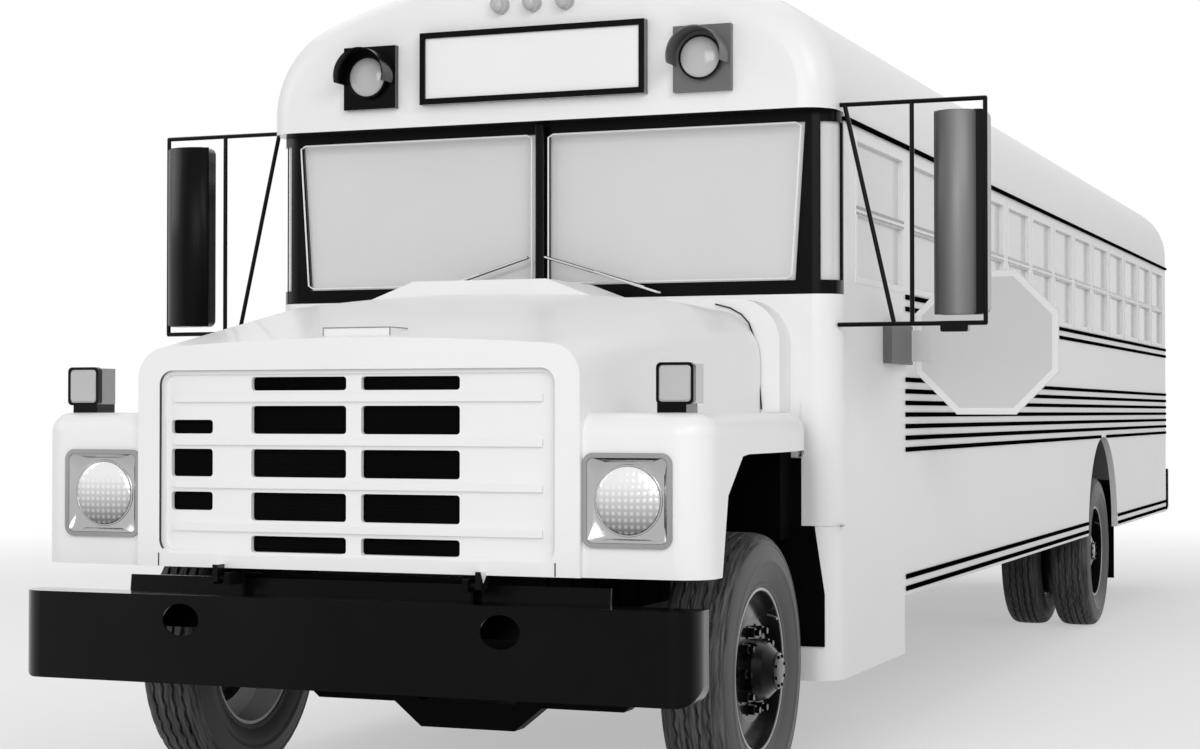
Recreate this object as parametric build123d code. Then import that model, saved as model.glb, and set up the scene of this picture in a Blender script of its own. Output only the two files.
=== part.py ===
from build123d import *
import math
import os

# School bus with the engine in front, in millimetres and degrees.
# +X is the driver's side (left), -Y the front and +Z up.
# The origin is on the ground, on the centreline, midway between the bumper faces.

# Body shell
body_width = 2438
body_length = 10030
body_front_reach = 1760
wall = 40
front_corner = 100
rear_corner = 150
skirt_bottom = 620
step_skirt_bottom = 372
step_skirt_length = 990
eave_height = 2600
roof_spring_height = 2641
roof_shoulder = 400
roof_crown = 2650
floor_top = 960
floor_thickness = 50
bearer_height = 50
bearer_width = 60
cut_overrun = 20
hairline = 0.3
open_gap = 6

# Chassis
frame_half = 432
rail_depth = 260
rail_flange = 75
rail_plate = 8
cross_member_depth = 120
cross_member_width = 70
cross_member_count = 7
front_axle_reach = 680
rear_axle_reach = 6650
cross_member_first = 900

# Wheels
tyre_radius = 487
tyre_width = 255
tyre_shoulder = 34
tyre_crown_drop = 8
rim_radius = 292
bead_width = 190
front_tyre_centre = 1022
rear_tyre_centre = 1065
twin_spacing = 318
rim_plate = 12
hub_radius = 115
hub_reach = 70
drum_radius = 210
drum_length = 120
spindle_radius = 42
bore_clearance = 0.4
arch_radius = 620
wheelhouse_inner = 565
stud_circle = 285.75
stud_count = 10
stud_radius = 11
stud_length = 45
pilot_radius = 110
pilot_length = 30

# Steering and front axle
kingpin_reach = 845
kingpin_radius = 20
kingpin_boss = 38
kingpin_boss_height = 110
fork_plate = 24
beam_depth = 90
beam_height = 100
beam_seat_drop = 120
beam_centre_drop = 210
beam_rise_half = 760
beam_seat_half = 620
beam_dip_half = 300
beam_dip_floor_half = 190
beam_pad = 37
steer_arm_reach = 210
steer_arm_width = 46
steer_arm_plate = 20
tie_rod_radius = 17
tie_rod_pin = 11
tie_rod_eye_height = 46

# Springs and rear axle
spring_width = 76
spring_leaf = 14
spring_leaf_count = 4
spring_step_share = 0.2
front_spring_half = 620
rear_spring_half = 700
front_spring_centre = 420
rear_spring_centre = 505
spring_rise = 60
spring_eye = 24
axle_tube = 80
diff_radius = 190
diff_width = 220
shaft_radius = 50
shaft_yoke = 62
shaft_yoke_length = 130

# Engine, gearbox, radiator and tank
engine_half = 320
engine_fan_gap = 110
engine_rear_reach = 260
engine_height = 780
engine_mount_plate = 40
engine_sink = 250
gearbox_radius = 165
gearbox_length = 760
radiator_half = 400
radiator_setback = 170
radiator_depth = 90
radiator_height = 640
tank_front = 2500
tank_length = 1500
tank_wall_gap = 117
tank_depth = 230
tank_corner = 70
tank_gap = 70
tank_strap = 60

# Bumpers
bumper_half = 1244
bumper_low = 484
bumper_high = 783
bumper_depth = 140
bumper_plate = 8
bumper_corner = 62
bumper_end_corner = 90
tow_hole_place = 589
tow_hole_width = 140
tow_hole_height = 110
tow_hole_level = 700
rear_bumper_depth = 120
rear_bumper_low = 600
rear_bumper_high = 950

# Hood, fenders and nose
nose_setback = 100
nose_half = 823
nose_top = 1625
nose_corner = 110
nose_crown = 25
hood_low = 872
cowl_depth = 150
hood_rear_half = 960
hood_rear_drop = 67
hood_rear_corner = 190
hood_rear_crown = 45
hood_skin = 14
hood_mid_reach = 630
hood_mid_drop = 50
hood_mid_half = 915
hood_mid_corner = 165
hood_mid_crown = 40
bulge_front_reach = 625
bulge_base_half = 470
bulge_top_half = 274
bulge_rise = 38
bulge_height = 73
fender_half = 1244
fender_setback = 122
fender_top = 1400
fender_corner = 110
fender_edge = 70
fender_taper_start = 850
fender_rear_half = 1095
fender_rear_gap = 60
cowl_half = 1035
arch_front_foot = 1487
arch_front_top = 1200
arch_front_corner = 130
arch_height = 1262
arch_rear_height = 1232
hinge_level = 838
hinge_ahead = 26
hinge_pin = 9
hinge_ear = 20
hinge_lug_half = 478
latch_half = 125
latch_height = 60
latch_depth = 90

# Grille
grille_half = 737
grille_low = 915
grille_corner = 50
grille_top = 1545
grille_recess = 26
grille_plate = 18
grille_flange = 14
slot_inner = 28
slot_outer = 390
slot_height = 95
slot_pitch = 147
slot_low = 887
slot_corner = 12
rib_width = 24
rib_height = 12
side_slot_inner = 541
side_slot_outer = 704
side_slot_shares = ((1 / 3, 1), (0, 1), (0, 1 / 2))

# Lamps
head_lamp_place = 978
head_lamp_width = 304
head_lamp_level = 1120
head_lamp_radius = 109
head_lamp_proud = 10
head_lamp_corner = 36
head_lamp_flange = 12
head_lamp_rim = 16
head_lamp_depth = 78
head_lamp_setback = 34
turn_lamp_place = 1112
turn_lamp_width = 119
turn_lamp_height = 127
turn_lamp_depth = 110
turn_lamp_stand = 30
turn_lamp_setback = 250

# Cap over the windshield
cap_reach = 100
cap_low = 2563
cap_edge = 130
cap_length = 560
sign_half = 485
sign_low = 2646
sign_high = 2937
sign_depth = 40
sign_border = 24
sign_border_depth = 8
warning_place = 717
warning_level = 2770
warning_width = 235
warning_height = 257
warning_radius = 82
warning_base = 30
warning_hood = 105
rear_warning_hood = 80
warning_hood_plate = 5
marker_pitch = 140
marker_radius = 36
marker_depth = 70
marker_level = 3035

# Windshield and cowl
windshield_sill = 1857
cowl_corner = 170
cowl_skin = 16
cowl_drop = 22
cowl_low = 915
frame_depth = 32
pane_top_inset = 125
pane_bottom_inset = 165
pane_rail_low = 54
pane_rail_high = 42
divider_half = 30
glass_thickness = 6
corner_pane_low_degrees = 20
corner_pane_high_degrees = 84
corner_panel_low = 966
corner_panel_high = 1449
corner_panel_proud = 8

# Windows
window_pitch = 711.2
window_start = 1194
window_rear_margin = 150
window_post = 90
window_low = 1912
window_high = 2500
sash_member = 26
sash_bar = 36
sash_bar_level = 2200
sash_proud = 4
bench_wall_gap = 8
driver_window_start = 270
driver_window_end = 1080

# Entrance
door_front = 210
door_rear = 990
door_low = 400
door_high = 2455
door_plate = 32
door_member = 70
door_rail_level = 1330
door_rail = 120
door_centre_gap = 16
stair_rail_gap = 187
stair_plate = 18
stair_count = 3
barrel_radius = 9
barrel_length = 110
strap_plate = 5
strap_length = 70
entrance_hinge_count = 3

# Rear wall
rear_door_half = 370
rear_door_low = 985
rear_door_high = 2480
rear_door_plate = 34
rear_door_member = 90
rear_window_split = 1780
rear_window_split_rail = 110
rear_side_window_inner = 520
rear_side_window_outer = 960
rear_hinge_count = 3
rear_lamp_place = 1010
rear_lamp_radius = 88
rear_lamp_level = 1290
rear_lamp_depth = 30
rear_warning_place = 620
rear_warning_level = 2830

# Rails along the sides
stripe_height = 20
stripe_proud = 7
stripe_start = 1107
stripe_low = 1232
stripe_pitch = 49.9
stripe_count = 7
sill_stripe_low = 1835
skirt_stripe_low = 637
rail_pair_pitch = 51
drip_rail_level = 2532
drip_rail_height = 16
drip_rail_proud = 14

# Seats
seat_start = 1560
seat_width = 970
seat_cushion_length = 420
seat_cushion_height = 120
seat_level = 450
seat_back_height = 1060
seat_back_thickness = 90
seat_back_lean = 90
seat_leg = 40
seat_leg_inset = 60
driver_place = 560
driver_seat_reach = 980
driver_seat_width = 500
driver_back_height = 780
driver_pedestal = 300
dash_depth = 320
dash_height = 1700
dash_low = 1380
wheel_ring_radius = 225
wheel_ring_tube = 16
wheel_ring_sides = 8
wheel_ring_spokes = 3
wheel_lean_degrees = 28
wheel_ring_reach = 560
wheel_ring_level = 1800
column_radius = 30

# Mirrors
mirror_overhang = 571
mirror_head_width = 205
mirror_head_depth = 62
mirror_head_low_drop = 87
mirror_head_high_drop = 55
mirror_head_corner = 30
mirror_tube = 9
mirror_ahead = 50
mirror_arm_low_drop = 119
mirror_arm_high_drop = 15
mirror_post_overhang = 281
mirror_brace_overhang = 211

# Stop arm
bracket_front = 717
bracket_length = 349
bracket_low = 1604
bracket_height = 164
bracket_depth = 38
sign_pin_radius = 9
sign_sleeve_radius = 18
sign_lug_plate = 14
sign_flats = 610
sign_sides = 8
sign_edge_gap = 26
sign_wall_gap = 2
stop_plate = 8
stop_level = 1697

# Guards
guard_plate = 6
guard_low = 504
guard_inner = 620
flap_width = 600
flap_low = 260
flap_gap = 720

# Derived places
half = body_width / 2
overall_length = body_front_reach + body_length + rear_bumper_depth
front_y = -overall_length / 2
body_y = front_y + body_front_reach
rear_y = body_y + body_length
floor_bottom = floor_top - floor_thickness
rail_top = floor_bottom - bearer_height
rail_bottom = rail_top - rail_depth
front_axle_y = body_y - front_axle_reach
rear_axle_y = body_y + rear_axle_reach
axle_z = tyre_radius
inner = half - wall
nose_y = front_y + nose_setback
hood_rear_y = body_y - cowl_depth
fender_y = front_y + fender_setback
hinge_y = nose_y - hinge_ahead
cap_y = body_y - cap_reach
rail_front_y = front_y + bumper_depth
mirror_y = body_y + mirror_ahead
twin_inner_centre = rear_tyre_centre - twin_spacing
radiator_y = nose_y + radiator_setback
engine_front_y = radiator_y + radiator_depth + engine_fan_gap
hood_rear_top = windshield_sill - hood_rear_drop
hood_mid_top = windshield_sill - hood_mid_drop
cowl_top = windshield_sill - cowl_drop
pane_low = windshield_sill + pane_rail_low
pane_high = cap_low - pane_rail_high
pane_top_half = half - pane_top_inset
pane_bottom_half = half - pane_bottom_inset
window_count = int((body_length - window_start - window_rear_margin) / window_pitch)
seat_rows = window_count - 1
tank_width = inner - frame_half - tank_gap - tank_wall_gap
stair_width = inner - frame_half - stair_rail_gap
mirror_head_low = windshield_sill - mirror_head_low_drop
mirror_arm_low = windshield_sill - mirror_arm_low_drop
mirror_head_high = eave_height - mirror_head_high_drop
mirror_arm_high = eave_height - mirror_arm_high_drop
mirror_reach = half + mirror_overhang
mirror_post_reach = half + mirror_post_overhang
mirror_brace_low = half + mirror_brace_overhang


def block(x0, x1, y0, y1, z0, z1):
    """Box between six planes."""
    centre = Pos((x0 + x1) / 2, (y0 + y1) / 2, (z0 + z1) / 2)
    return centre * Box(x1 - x0, y1 - y0, z1 - z0)


def both_sides(shape):
    """The shape with its mirror image across the centreline, as a list of solids."""
    return [shape, mirror(shape, about=Plane.YZ)]


def join(shapes):
    """All the shapes fused."""
    first, *rest = shapes
    return first.fuse(*rest) if rest else first


def group(shapes):
    """Solids that share a node without touching."""
    solids = []
    for shape in shapes:
        solids.extend(shape.solids())
    return Compound(children=solids)


def along_x(points, x0, x1):
    """Outline of (y, z) points extruded from x0 to x1."""
    outline = make_face(Polyline(*[(x0, y, z) for y, z in points], close=True))
    return extrude(outline, amount=x1 - x0, dir=(1, 0, 0))


def along_y(outline, y0, y1):
    """Sketch in (x, z) extruded from y0 to y1."""
    placed = Plane(origin=(0, y0, 0), x_dir=(1, 0, 0), z_dir=(0, -1, 0)) * outline
    return extrude(placed, amount=y1 - y0, dir=(0, 1, 0))


def along_z(outline, z0, z1):
    """Sketch in (x, y) extruded from z0 to z1."""
    return extrude(Pos(0, 0, z0) * outline, amount=z1 - z0, dir=(0, 0, 1))


def rectangle(u0, u1, v0, v1):
    """Rectangle sketch between two corners."""
    return Pos((u0 + u1) / 2, (v0 + v1) / 2) * Rectangle(u1 - u0, v1 - v0)


def rod(start, end, radius):
    """Round bar between two points."""
    a = Vector(*start)
    b = Vector(*end)
    return extrude(Plane(origin=a, z_dir=b - a) * Circle(radius), amount=(b - a).length)


def turned(points, x_sign, y):
    """Profile of (x, radius) points turned about the axle line at y."""
    outline = make_face(Polyline(*[(x, 0, r) for x, r in points], close=True))
    solid = revolve(outline, Axis((0, 0, 0), (1, 0, 0)))
    if x_sign < 0:
        solid = mirror(solid, about=Plane.YZ)
    return Pos(0, y, axle_z) * solid


# Plans and sections of the shell
def wrap_plan(outset, corner):
    """Plan of the shell near one end, its end wall on y = 0 and the body on +y."""
    width = body_width + 2 * outset
    depth = 4 * corner
    plan = Pos(0, depth / 2 - outset) * RectangleRounded(width, depth, corner + outset)
    return plan & rectangle(-body_width, body_width, -corner, corner)


def wrap_ring(outer_outset, inner_outset, corner):
    """Plan ring between two outsets from the outer face."""
    return wrap_plan(outer_outset, corner) - wrap_plan(inner_outset, corner)


def roof_outline(inset, low):
    """Roof section between low and the bow, moved in by inset."""
    side = half - inset
    shoulder = roof_shoulder - inset
    crown = roof_crown - inset
    shoulder_x = half - roof_shoulder
    drop = math.sqrt((roof_crown - roof_shoulder) ** 2 - shoulder_x ** 2)
    crown_z = roof_spring_height - drop
    turn = math.atan2(drop, shoulder_x)
    mid = turn / 2
    tip = (shoulder_x + shoulder * math.cos(turn), roof_spring_height + shoulder * math.sin(turn))
    bend = (shoulder_x + shoulder * math.cos(mid), roof_spring_height + shoulder * math.sin(mid))
    top = (0, crown_z + crown)
    lines = [
        Line((side, low), (side, roof_spring_height)),
        ThreePointArc((side, roof_spring_height), bend, tip),
        ThreePointArc(tip, top, (-tip[0], tip[1])),
        ThreePointArc((-tip[0], tip[1]), (-bend[0], bend[1]), (-side, roof_spring_height)),
        Line((-side, roof_spring_height), (-side, low)),
        Line((-side, low), (side, low)),
    ]
    return make_face(lines)


def roof_form(inset, low, y0, y1, edge, at_front):
    """Roof volume with one rounded end."""
    solid = along_y(roof_outline(inset, low), y0, y1)
    end = y0 if at_front else y1
    chosen = []
    for edge_line in solid.edges():
        box = edge_line.bounding_box()
        flat = abs(box.min.Y - end) < hairline and abs(box.max.Y - end) < hairline
        if flat and box.max.Z > low + hairline:
            chosen.append(edge_line)
    return fillet(chosen, edge - inset)


# Chassis
def frame_rails():
    """Two channel rails, open to the middle."""
    web = block(frame_half - rail_flange, frame_half, rail_front_y, rear_y, rail_bottom, rail_top)
    hollow = block(
        frame_half - rail_flange - cut_overrun, frame_half - rail_plate, rail_front_y - cut_overrun,
        rear_y + cut_overrun, rail_bottom + rail_plate, rail_top - rail_plate)
    return group(both_sides(web - hollow))


def cross_members():
    """Cross-members between the rails' webs, under their top flanges."""
    top = rail_top - rail_plate
    side = frame_half - rail_plate
    first = body_y + cross_member_first
    step = (rear_y - wall - cross_member_width - first) / (cross_member_count - 1)
    places = [first + step * k for k in range(cross_member_count)]
    places.append(rail_front_y + cross_member_width)
    return group([
        block(-side, side, y, y + cross_member_width, top - cross_member_depth, top) for y in places])


def hood_hinges():
    """Ear outside each rail's front end, with the pin that the hood turns on."""
    ear = block(
        frame_half, frame_half + hinge_ear, hinge_y - hinge_ear, rail_front_y + bumper_depth,
        hinge_level - hinge_ear, rail_top)
    eye = rod((frame_half, hinge_y, hinge_level), (frame_half + hinge_ear, hinge_y, hinge_level), hinge_ear)
    pin_end = hinge_lug_half + hinge_ear
    pin = rod((frame_half, hinge_y, hinge_level), (pin_end, hinge_y, hinge_level), hinge_pin)
    return group(both_sides(join([ear, eye, pin])))


def engine():
    """Engine as one plain block on its four mounts, with the gearbox behind it."""
    low = rail_top - engine_sink
    front = engine_front_y
    back = body_y - engine_rear_reach
    parts = [block(-engine_half, engine_half, front, back, low, low + engine_height)]
    for y in (front + cross_member_width, back - 2 * cross_member_width):
        parts.append(block(
            -frame_half + rail_plate, frame_half - rail_plate, y, y + cross_member_width,
            rail_top, rail_top + engine_mount_plate))
    level = gearbox_level()
    parts.append(rod((0, back, level), (0, back + gearbox_length, level), gearbox_radius))
    return join(parts)


def gearbox_level():
    """Height of the gearbox's output shaft."""
    return rail_top - gearbox_radius - rail_plate


def radiator():
    """Radiator core across the rails behind the grille."""
    back = radiator_y + radiator_depth
    return block(-radiator_half, radiator_half, radiator_y, back, rail_top, rail_top + radiator_height)


def front_axle_beam():
    """Twice dropped beam with pads under the springs and a boss for each kingpin."""
    half_height = beam_height / 2
    steps = [
        (kingpin_reach, 0), (beam_rise_half, 0), (beam_seat_half, beam_seat_drop),
        (beam_dip_half, beam_seat_drop), (beam_dip_floor_half, beam_centre_drop),
    ]
    line = [(x, axle_z - drop) for x, drop in steps]
    line = line + [(-x, z) for x, z in reversed(line)]
    outline = [(x, z + half_height) for x, z in line] + [(x, z - half_height) for x, z in reversed(line)]
    beam = along_y(make_face(Polyline(*outline, close=True)), -beam_depth / 2, beam_depth / 2)
    seat_top = axle_z + half_height - beam_seat_drop
    pad = block(
        front_spring_centre - spring_width / 2, front_spring_centre + spring_width / 2,
        -beam_depth / 2, beam_depth / 2, seat_top - half_height, seat_top + beam_pad)
    parts = [beam, *both_sides(pad)]
    holes = []
    for side in (1, -1):
        x = side * kingpin_reach
        base = axle_z - kingpin_boss_height / 2
        parts.append(rod((x, 0, base), (x, 0, base + kingpin_boss_height), kingpin_boss))
        holes.append(rod(
            (x, 0, base - cut_overrun), (x, 0, base + kingpin_boss_height + cut_overrun),
            kingpin_radius + bore_clearance))
        edge = x + side * kingpin_boss
        ends = sorted((edge, edge + side * beam_depth))
        holes.append(block(
            ends[0], ends[1], -beam_depth, beam_depth, axle_z - beam_depth, axle_z + beam_depth))
    solid = join(parts)
    for hole in holes:
        solid = solid - hole
    trim = beam_end_trim()
    return Pos(0, front_axle_y, 0) * (solid - trim)


def beam_end_trim():
    """What is cut off the beam's square ends round each boss."""
    trims = []
    size = beam_depth
    for side in (1, -1):
        x = side * kingpin_reach
        ends = sorted((x, x + side * size))
        square = block(ends[0], ends[1], -size, size, axle_z - size, axle_z + size)
        keep = rod((x, 0, axle_z - size), (x, 0, axle_z + size), kingpin_boss)
        trims.append(square - keep)
    return join(trims)


def leaf_pack(centre_x, centre_y, seat_z, span, hang_top):
    """Stack of leaves with rolled eyes and the hangers that carry them."""
    parts = []
    for k in range(spring_leaf_count):
        reach = span * (1 - spring_step_share * k)
        rise = spring_rise * (reach / span) ** 2
        low = seat_z + spring_leaf * (spring_leaf_count - 1 - k)
        lower = ThreePointArc((-reach, low + rise), (0, low), (reach, low + rise))
        upper_rise = low + rise + spring_leaf
        upper = ThreePointArc((reach, upper_rise), (0, low + spring_leaf), (-reach, upper_rise))
        ends = [
            Line((reach, low + rise), (reach, upper_rise)),
            Line((-reach, upper_rise), (-reach, low + rise)),
        ]
        face = make_face([lower, ends[0], upper, ends[1]])
        placed = Plane(origin=(-spring_width / 2, 0, 0), x_dir=(0, 1, 0), z_dir=(1, 0, 0)) * face
        parts.append(extrude(placed, amount=spring_width, dir=(1, 0, 0)))
    eye_z = seat_z + spring_leaf * spring_leaf_count + spring_rise
    for y in (-span, span):
        parts.append(rod((-spring_width / 2, y, eye_z), (spring_width / 2, y, eye_z), spring_eye))
        hanger = block(
            -spring_width / 2, spring_width / 2, y - spring_eye, y + spring_eye, eye_z, hang_top)
        parts.append(hanger)
    return Pos(centre_x, centre_y, 0) * join(parts)


def leaf_springs():
    """Front springs under the rails and rear springs beside them."""
    front_seat = axle_z + beam_height / 2 - beam_seat_drop + beam_pad
    rear_seat = axle_z + axle_tube
    rear_hang = rear_seat + spring_leaf * spring_leaf_count + spring_rise + spring_eye
    springs = []
    front_pack = leaf_pack(front_spring_centre, front_axle_y, front_seat, front_spring_half, rail_bottom)
    rear_pack = leaf_pack(rear_spring_centre, rear_axle_y, rear_seat, rear_spring_half, rear_hang)
    for y in (-rear_spring_half, rear_spring_half):
        carrier = block(
            frame_half, rear_spring_centre + spring_width / 2, rear_axle_y + y - spring_eye,
            rear_axle_y + y + spring_eye, rear_hang - spring_eye, rear_hang + spring_eye)
        rear_pack = rear_pack.fuse(carrier)
    springs.extend(both_sides(front_pack))
    springs.extend(both_sides(rear_pack))
    return group(springs)


def rear_axle():
    """Axle housing with its spindles, final drive and the shaft from the gearbox."""
    seat = twin_inner_centre - tyre_width / 2 - open_gap
    tip = rear_tyre_centre + hub_reach
    parts = [rod((-seat, 0, 0), (seat, 0, 0), axle_tube), rod((-tip, 0, 0), (tip, 0, 0), spindle_radius)]
    parts.append(rod((0, -diff_width / 2, 0), (0, diff_width / 2, 0), diff_radius))
    housing = Pos(0, rear_axle_y, axle_z) * join(parts)
    level = gearbox_level()
    start = body_y - engine_rear_reach + gearbox_length
    yoke = rod((0, start, level), (0, start + shaft_yoke_length, level), shaft_yoke)
    shaft_start = (0, start + shaft_yoke_length / 2, level)
    shaft = rod(shaft_start, (0, rear_axle_y, axle_z), shaft_radius)
    return join([housing, yoke, shaft])


def fuel_tank():
    """Tank outside the right rail, on straps from the rail."""
    y = body_y + tank_front
    right = -frame_half - tank_gap
    section = Pos(right - tank_width / 2, rail_top - tank_depth / 2) * RectangleRounded(
        tank_width, tank_depth, tank_corner)
    tank = along_y(section, y, y + tank_length)
    parts = [tank]
    for start in (y + tank_strap, y + tank_length - 2 * tank_strap):
        parts.append(block(
            right - tank_corner, -frame_half, start, start + tank_strap,
            rail_top - tank_depth / 2 - tank_strap, rail_top - tank_depth / 2 + tank_strap))
    return join(parts)


# Bumpers
def bumper_shell(width_half, depth, low, high, low_corner, end_corner, plate):
    """Channel bumper, its face on y = 0, with the ends wrapped back."""
    def form(inset):
        side = width_half - inset
        front = Pos(0, depth + inset) * RectangleRounded(2 * side, 2 * depth, end_corner - inset)
        plan = front & rectangle(-width_half, width_half, -cut_overrun, depth)
        face = rectangle(-side, side, low + inset, high - inset)
        bottom = face.vertices().sort_by(Axis.Y)[:2]
        return along_z(plan, low + inset, high - inset) & along_y(
            fillet(bottom, low_corner - inset), -cut_overrun, depth)
    return form(0) - form(plate)


def front_bumper():
    """Front bumper with its two tow holes and the horns on the rail ends."""
    shell = bumper_shell(
        bumper_half, bumper_depth, bumper_low, bumper_high, bumper_corner, bumper_end_corner, bumper_plate)
    for side in (1, -1):
        slot = Pos(side * tow_hole_place, tow_hole_level) * Ellipse(tow_hole_width / 2, tow_hole_height / 2)
        shell = shell - along_y(slot, -cut_overrun, bumper_plate + cut_overrun)
    horn = bumper_horn(bumper_depth, max(rail_bottom, bumper_low + bumper_plate), bumper_high - bumper_plate)
    return Pos(0, front_y, 0) * join([shell, *both_sides(horn)])


def bumper_horn(depth, low, high):
    """Bracket between a bumper's plate and one rail end."""
    return block(frame_half - rail_flange, frame_half, bumper_plate, depth, low, high)


def rear_bumper():
    """Rear bumper across the rail ends."""
    shell = bumper_shell(
        half, rear_bumper_depth, rear_bumper_low, rear_bumper_high, bumper_corner, bumper_end_corner,
        bumper_plate)
    low = max(rail_bottom, rear_bumper_low + bumper_plate)
    horn = bumper_horn(rear_bumper_depth, low, min(rail_top, rear_bumper_high - bumper_plate))
    placed = Pos(0, rear_y + rear_bumper_depth, 0) * Rot(0, 0, 180)
    return placed * join([shell, *both_sides(horn)])


# Body shell
def wheelhouse(inset):
    """Half round volume over the twin wheels, grown in by inset."""
    radius = arch_radius + inset
    start = wheelhouse_inner - inset
    solid = rod((start, rear_axle_y, skirt_bottom), (inner, rear_axle_y, skirt_bottom), radius)
    top = block(start, inner, rear_axle_y - radius, rear_axle_y + radius, skirt_bottom, floor_top * 2)
    return solid & top


def floor():
    """Floor slab on its bearers with wheelhouses and the entrance steps."""
    y0 = body_y + wall
    y1 = rear_y - wall
    slab = block(-inner, inner, body_y + front_corner, rear_y - rear_corner, floor_bottom, floor_top)
    front_end = along_z(Pos(0, body_y) * wrap_plan(-wall, front_corner), floor_bottom, floor_top)
    rear_plan = Pos(0, rear_y) * Rot(0, 0, 180) * wrap_plan(-wall, rear_corner)
    rear_end = along_z(rear_plan, floor_bottom, floor_top)
    bearers = []
    span = inner - bearer_width
    count = window_count
    first = body_y + window_start
    for k in range(count):
        y = first + window_pitch * k
        bearers.append(block(-span, span, y, y + bearer_width, rail_top, floor_bottom))
    solid = join([slab, front_end, rear_end, *bearers])
    shells = []
    for side in (1, -1):
        outer_form = wheelhouse(stair_plate)
        inner_form = wheelhouse(0)
        if side < 0:
            outer_form = mirror(outer_form, about=Plane.YZ)
            inner_form = mirror(inner_form, about=Plane.YZ)
        solid = solid - inner_form
        floor_level = block(-half, half, y0, y1, floor_bottom, floor_top * 2)
        shells.append((outer_form - inner_form) & floor_level)
    solid = join([solid, *shells])
    well_y0 = body_y + door_front - door_member
    well_y1 = body_y + door_rear + door_member
    x1 = -inner + stair_width
    solid = solid - block(
        -inner - cut_overrun, x1 - stair_plate, well_y0, well_y1, rail_top, floor_top + cut_overrun)
    return join([solid, entrance_steps(well_y0, well_y1)])


def entrance_steps(y0, y1):
    """Three risers from the door sill to the floor, closed at both ends."""
    rise = (floor_top - door_low) / stair_count
    run = (stair_width - stair_plate) / (stair_count - 1)
    base = door_low - stair_plate
    parts = []
    for k in range(stair_count - 1):
        x = -inner + run * k
        z = door_low + rise * k
        parts.append(block(x, x + run + stair_plate, y0, y1, z - stair_plate, z))
        parts.append(block(x + run, x + run + stair_plate, y0, y1, z - stair_plate, z + rise))
    end = -inner + run * (stair_count - 1) + stair_plate
    parts.append(block(end - stair_plate, end, y0, y1, base, floor_top))
    for y in (y0, y1 - stair_plate):
        parts.append(block(-inner, end, y, y + stair_plate, base, floor_top))
    return join(parts)


def window_bays():
    """Window openings along one side as (start, end) from the body's front."""
    bays = []
    for k in range(window_count):
        start = window_start + window_pitch * k + window_post / 2
        bays.append((start, start + window_pitch - window_post))
    return bays


def step_skirt_end():
    """Place where the deeper skirt of the steps ends and the panels of the right side meet."""
    return body_y + front_corner + step_skirt_length


def side_wall(entrance):
    """Side wall panel of the left with its windows and wheel arch, or with the entrance's opening."""
    y0 = body_y + front_corner
    y1 = rear_y - rear_corner
    step_y = step_skirt_end()
    outline = [
        (y0, step_skirt_bottom), (step_y, step_skirt_bottom), (step_y, skirt_bottom), (y1, skirt_bottom),
        (y1, eave_height), (y0, eave_height),
    ]
    panel = along_x(outline, inner, half)
    reach = inner - cut_overrun
    far = half + cut_overrun
    arch = rod((reach, rear_axle_y, skirt_bottom), (far, rear_axle_y, skirt_bottom), arch_radius)
    cuts = [arch]
    for start, end in window_bays():
        cuts.append(block(reach, far, body_y + start, body_y + end, window_low, window_high))
    if entrance:
        cuts.append(block(reach, far, body_y + door_front, body_y + door_rear, door_low, door_high))
    else:
        cuts.append(block(
            reach, far, body_y + driver_window_start, body_y + driver_window_end, window_low, window_high))
    return panel - cuts


def right_side():
    """Whole right side, mirrored from the left with the entrance instead of the driver's window."""
    return mirror(side_wall(True), about=Plane.YZ)


def entrance_zone():
    """Space ahead of the joint between the entrance panel and the right side wall."""
    return block(-body_width, 0, front_y, step_skirt_end(), 0, eave_height + cut_overrun)


def entrance_panel():
    """Panel round the entrance with the fixed barrels of its door hinges."""
    return join([right_side() & entrance_zone(), *entrance_barrels()])


def right_side_wall():
    """Right side wall behind the entrance panel."""
    return right_side() - entrance_zone()


def front_wall():
    """Panel below the windshield with its rounded corners and the cowl ahead of it."""
    ring = Pos(0, body_y) * wrap_ring(0, -wall, front_corner)
    panel = along_z(ring, step_skirt_bottom, windshield_sill)
    gap = guard_inner
    panel = panel - block(-gap, gap, body_y - wall, body_y + front_corner, 0, floor_bottom)
    cover = corner_cover()
    outer = cowl_form(0)
    hollow = cowl_form(cowl_skin)
    shell = outer - hollow
    return join([panel, cover, shell])


def corner_cover():
    """Raised access cover round the driver's front corner."""
    raised = Pos(0, body_y) * wrap_ring(corner_panel_proud, 0, front_corner)
    cover = along_z(raised, corner_panel_low, corner_panel_high)
    return cover & block(inner - front_corner, body_width, front_y, body_y + front_corner, 0, eave_height)


def cowl_form(inset):
    """Cowl box between the hood and the front wall, open below."""
    low = cowl_low - (cut_overrun if inset else 0)
    side = cowl_half - inset
    top = cowl_top - inset
    outline = rectangle(-side, side, low, top)
    upper = outline.vertices().sort_by(Axis.Y)[2:]
    rounded = fillet(upper, cowl_corner - inset)
    return along_y(rounded, body_y - cowl_depth + inset, body_y)


def pane_outline(side, outset=0):
    """Windshield pane on one side, in (x, z)."""
    points = [
        (divider_half - outset, pane_low - outset), (pane_bottom_half + outset, pane_low - outset),
        (pane_top_half + outset, pane_high + outset), (divider_half - outset, pane_high + outset),
    ]
    return make_face(Polyline(*[(side * x, z) for x, z in points], close=True))


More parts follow.
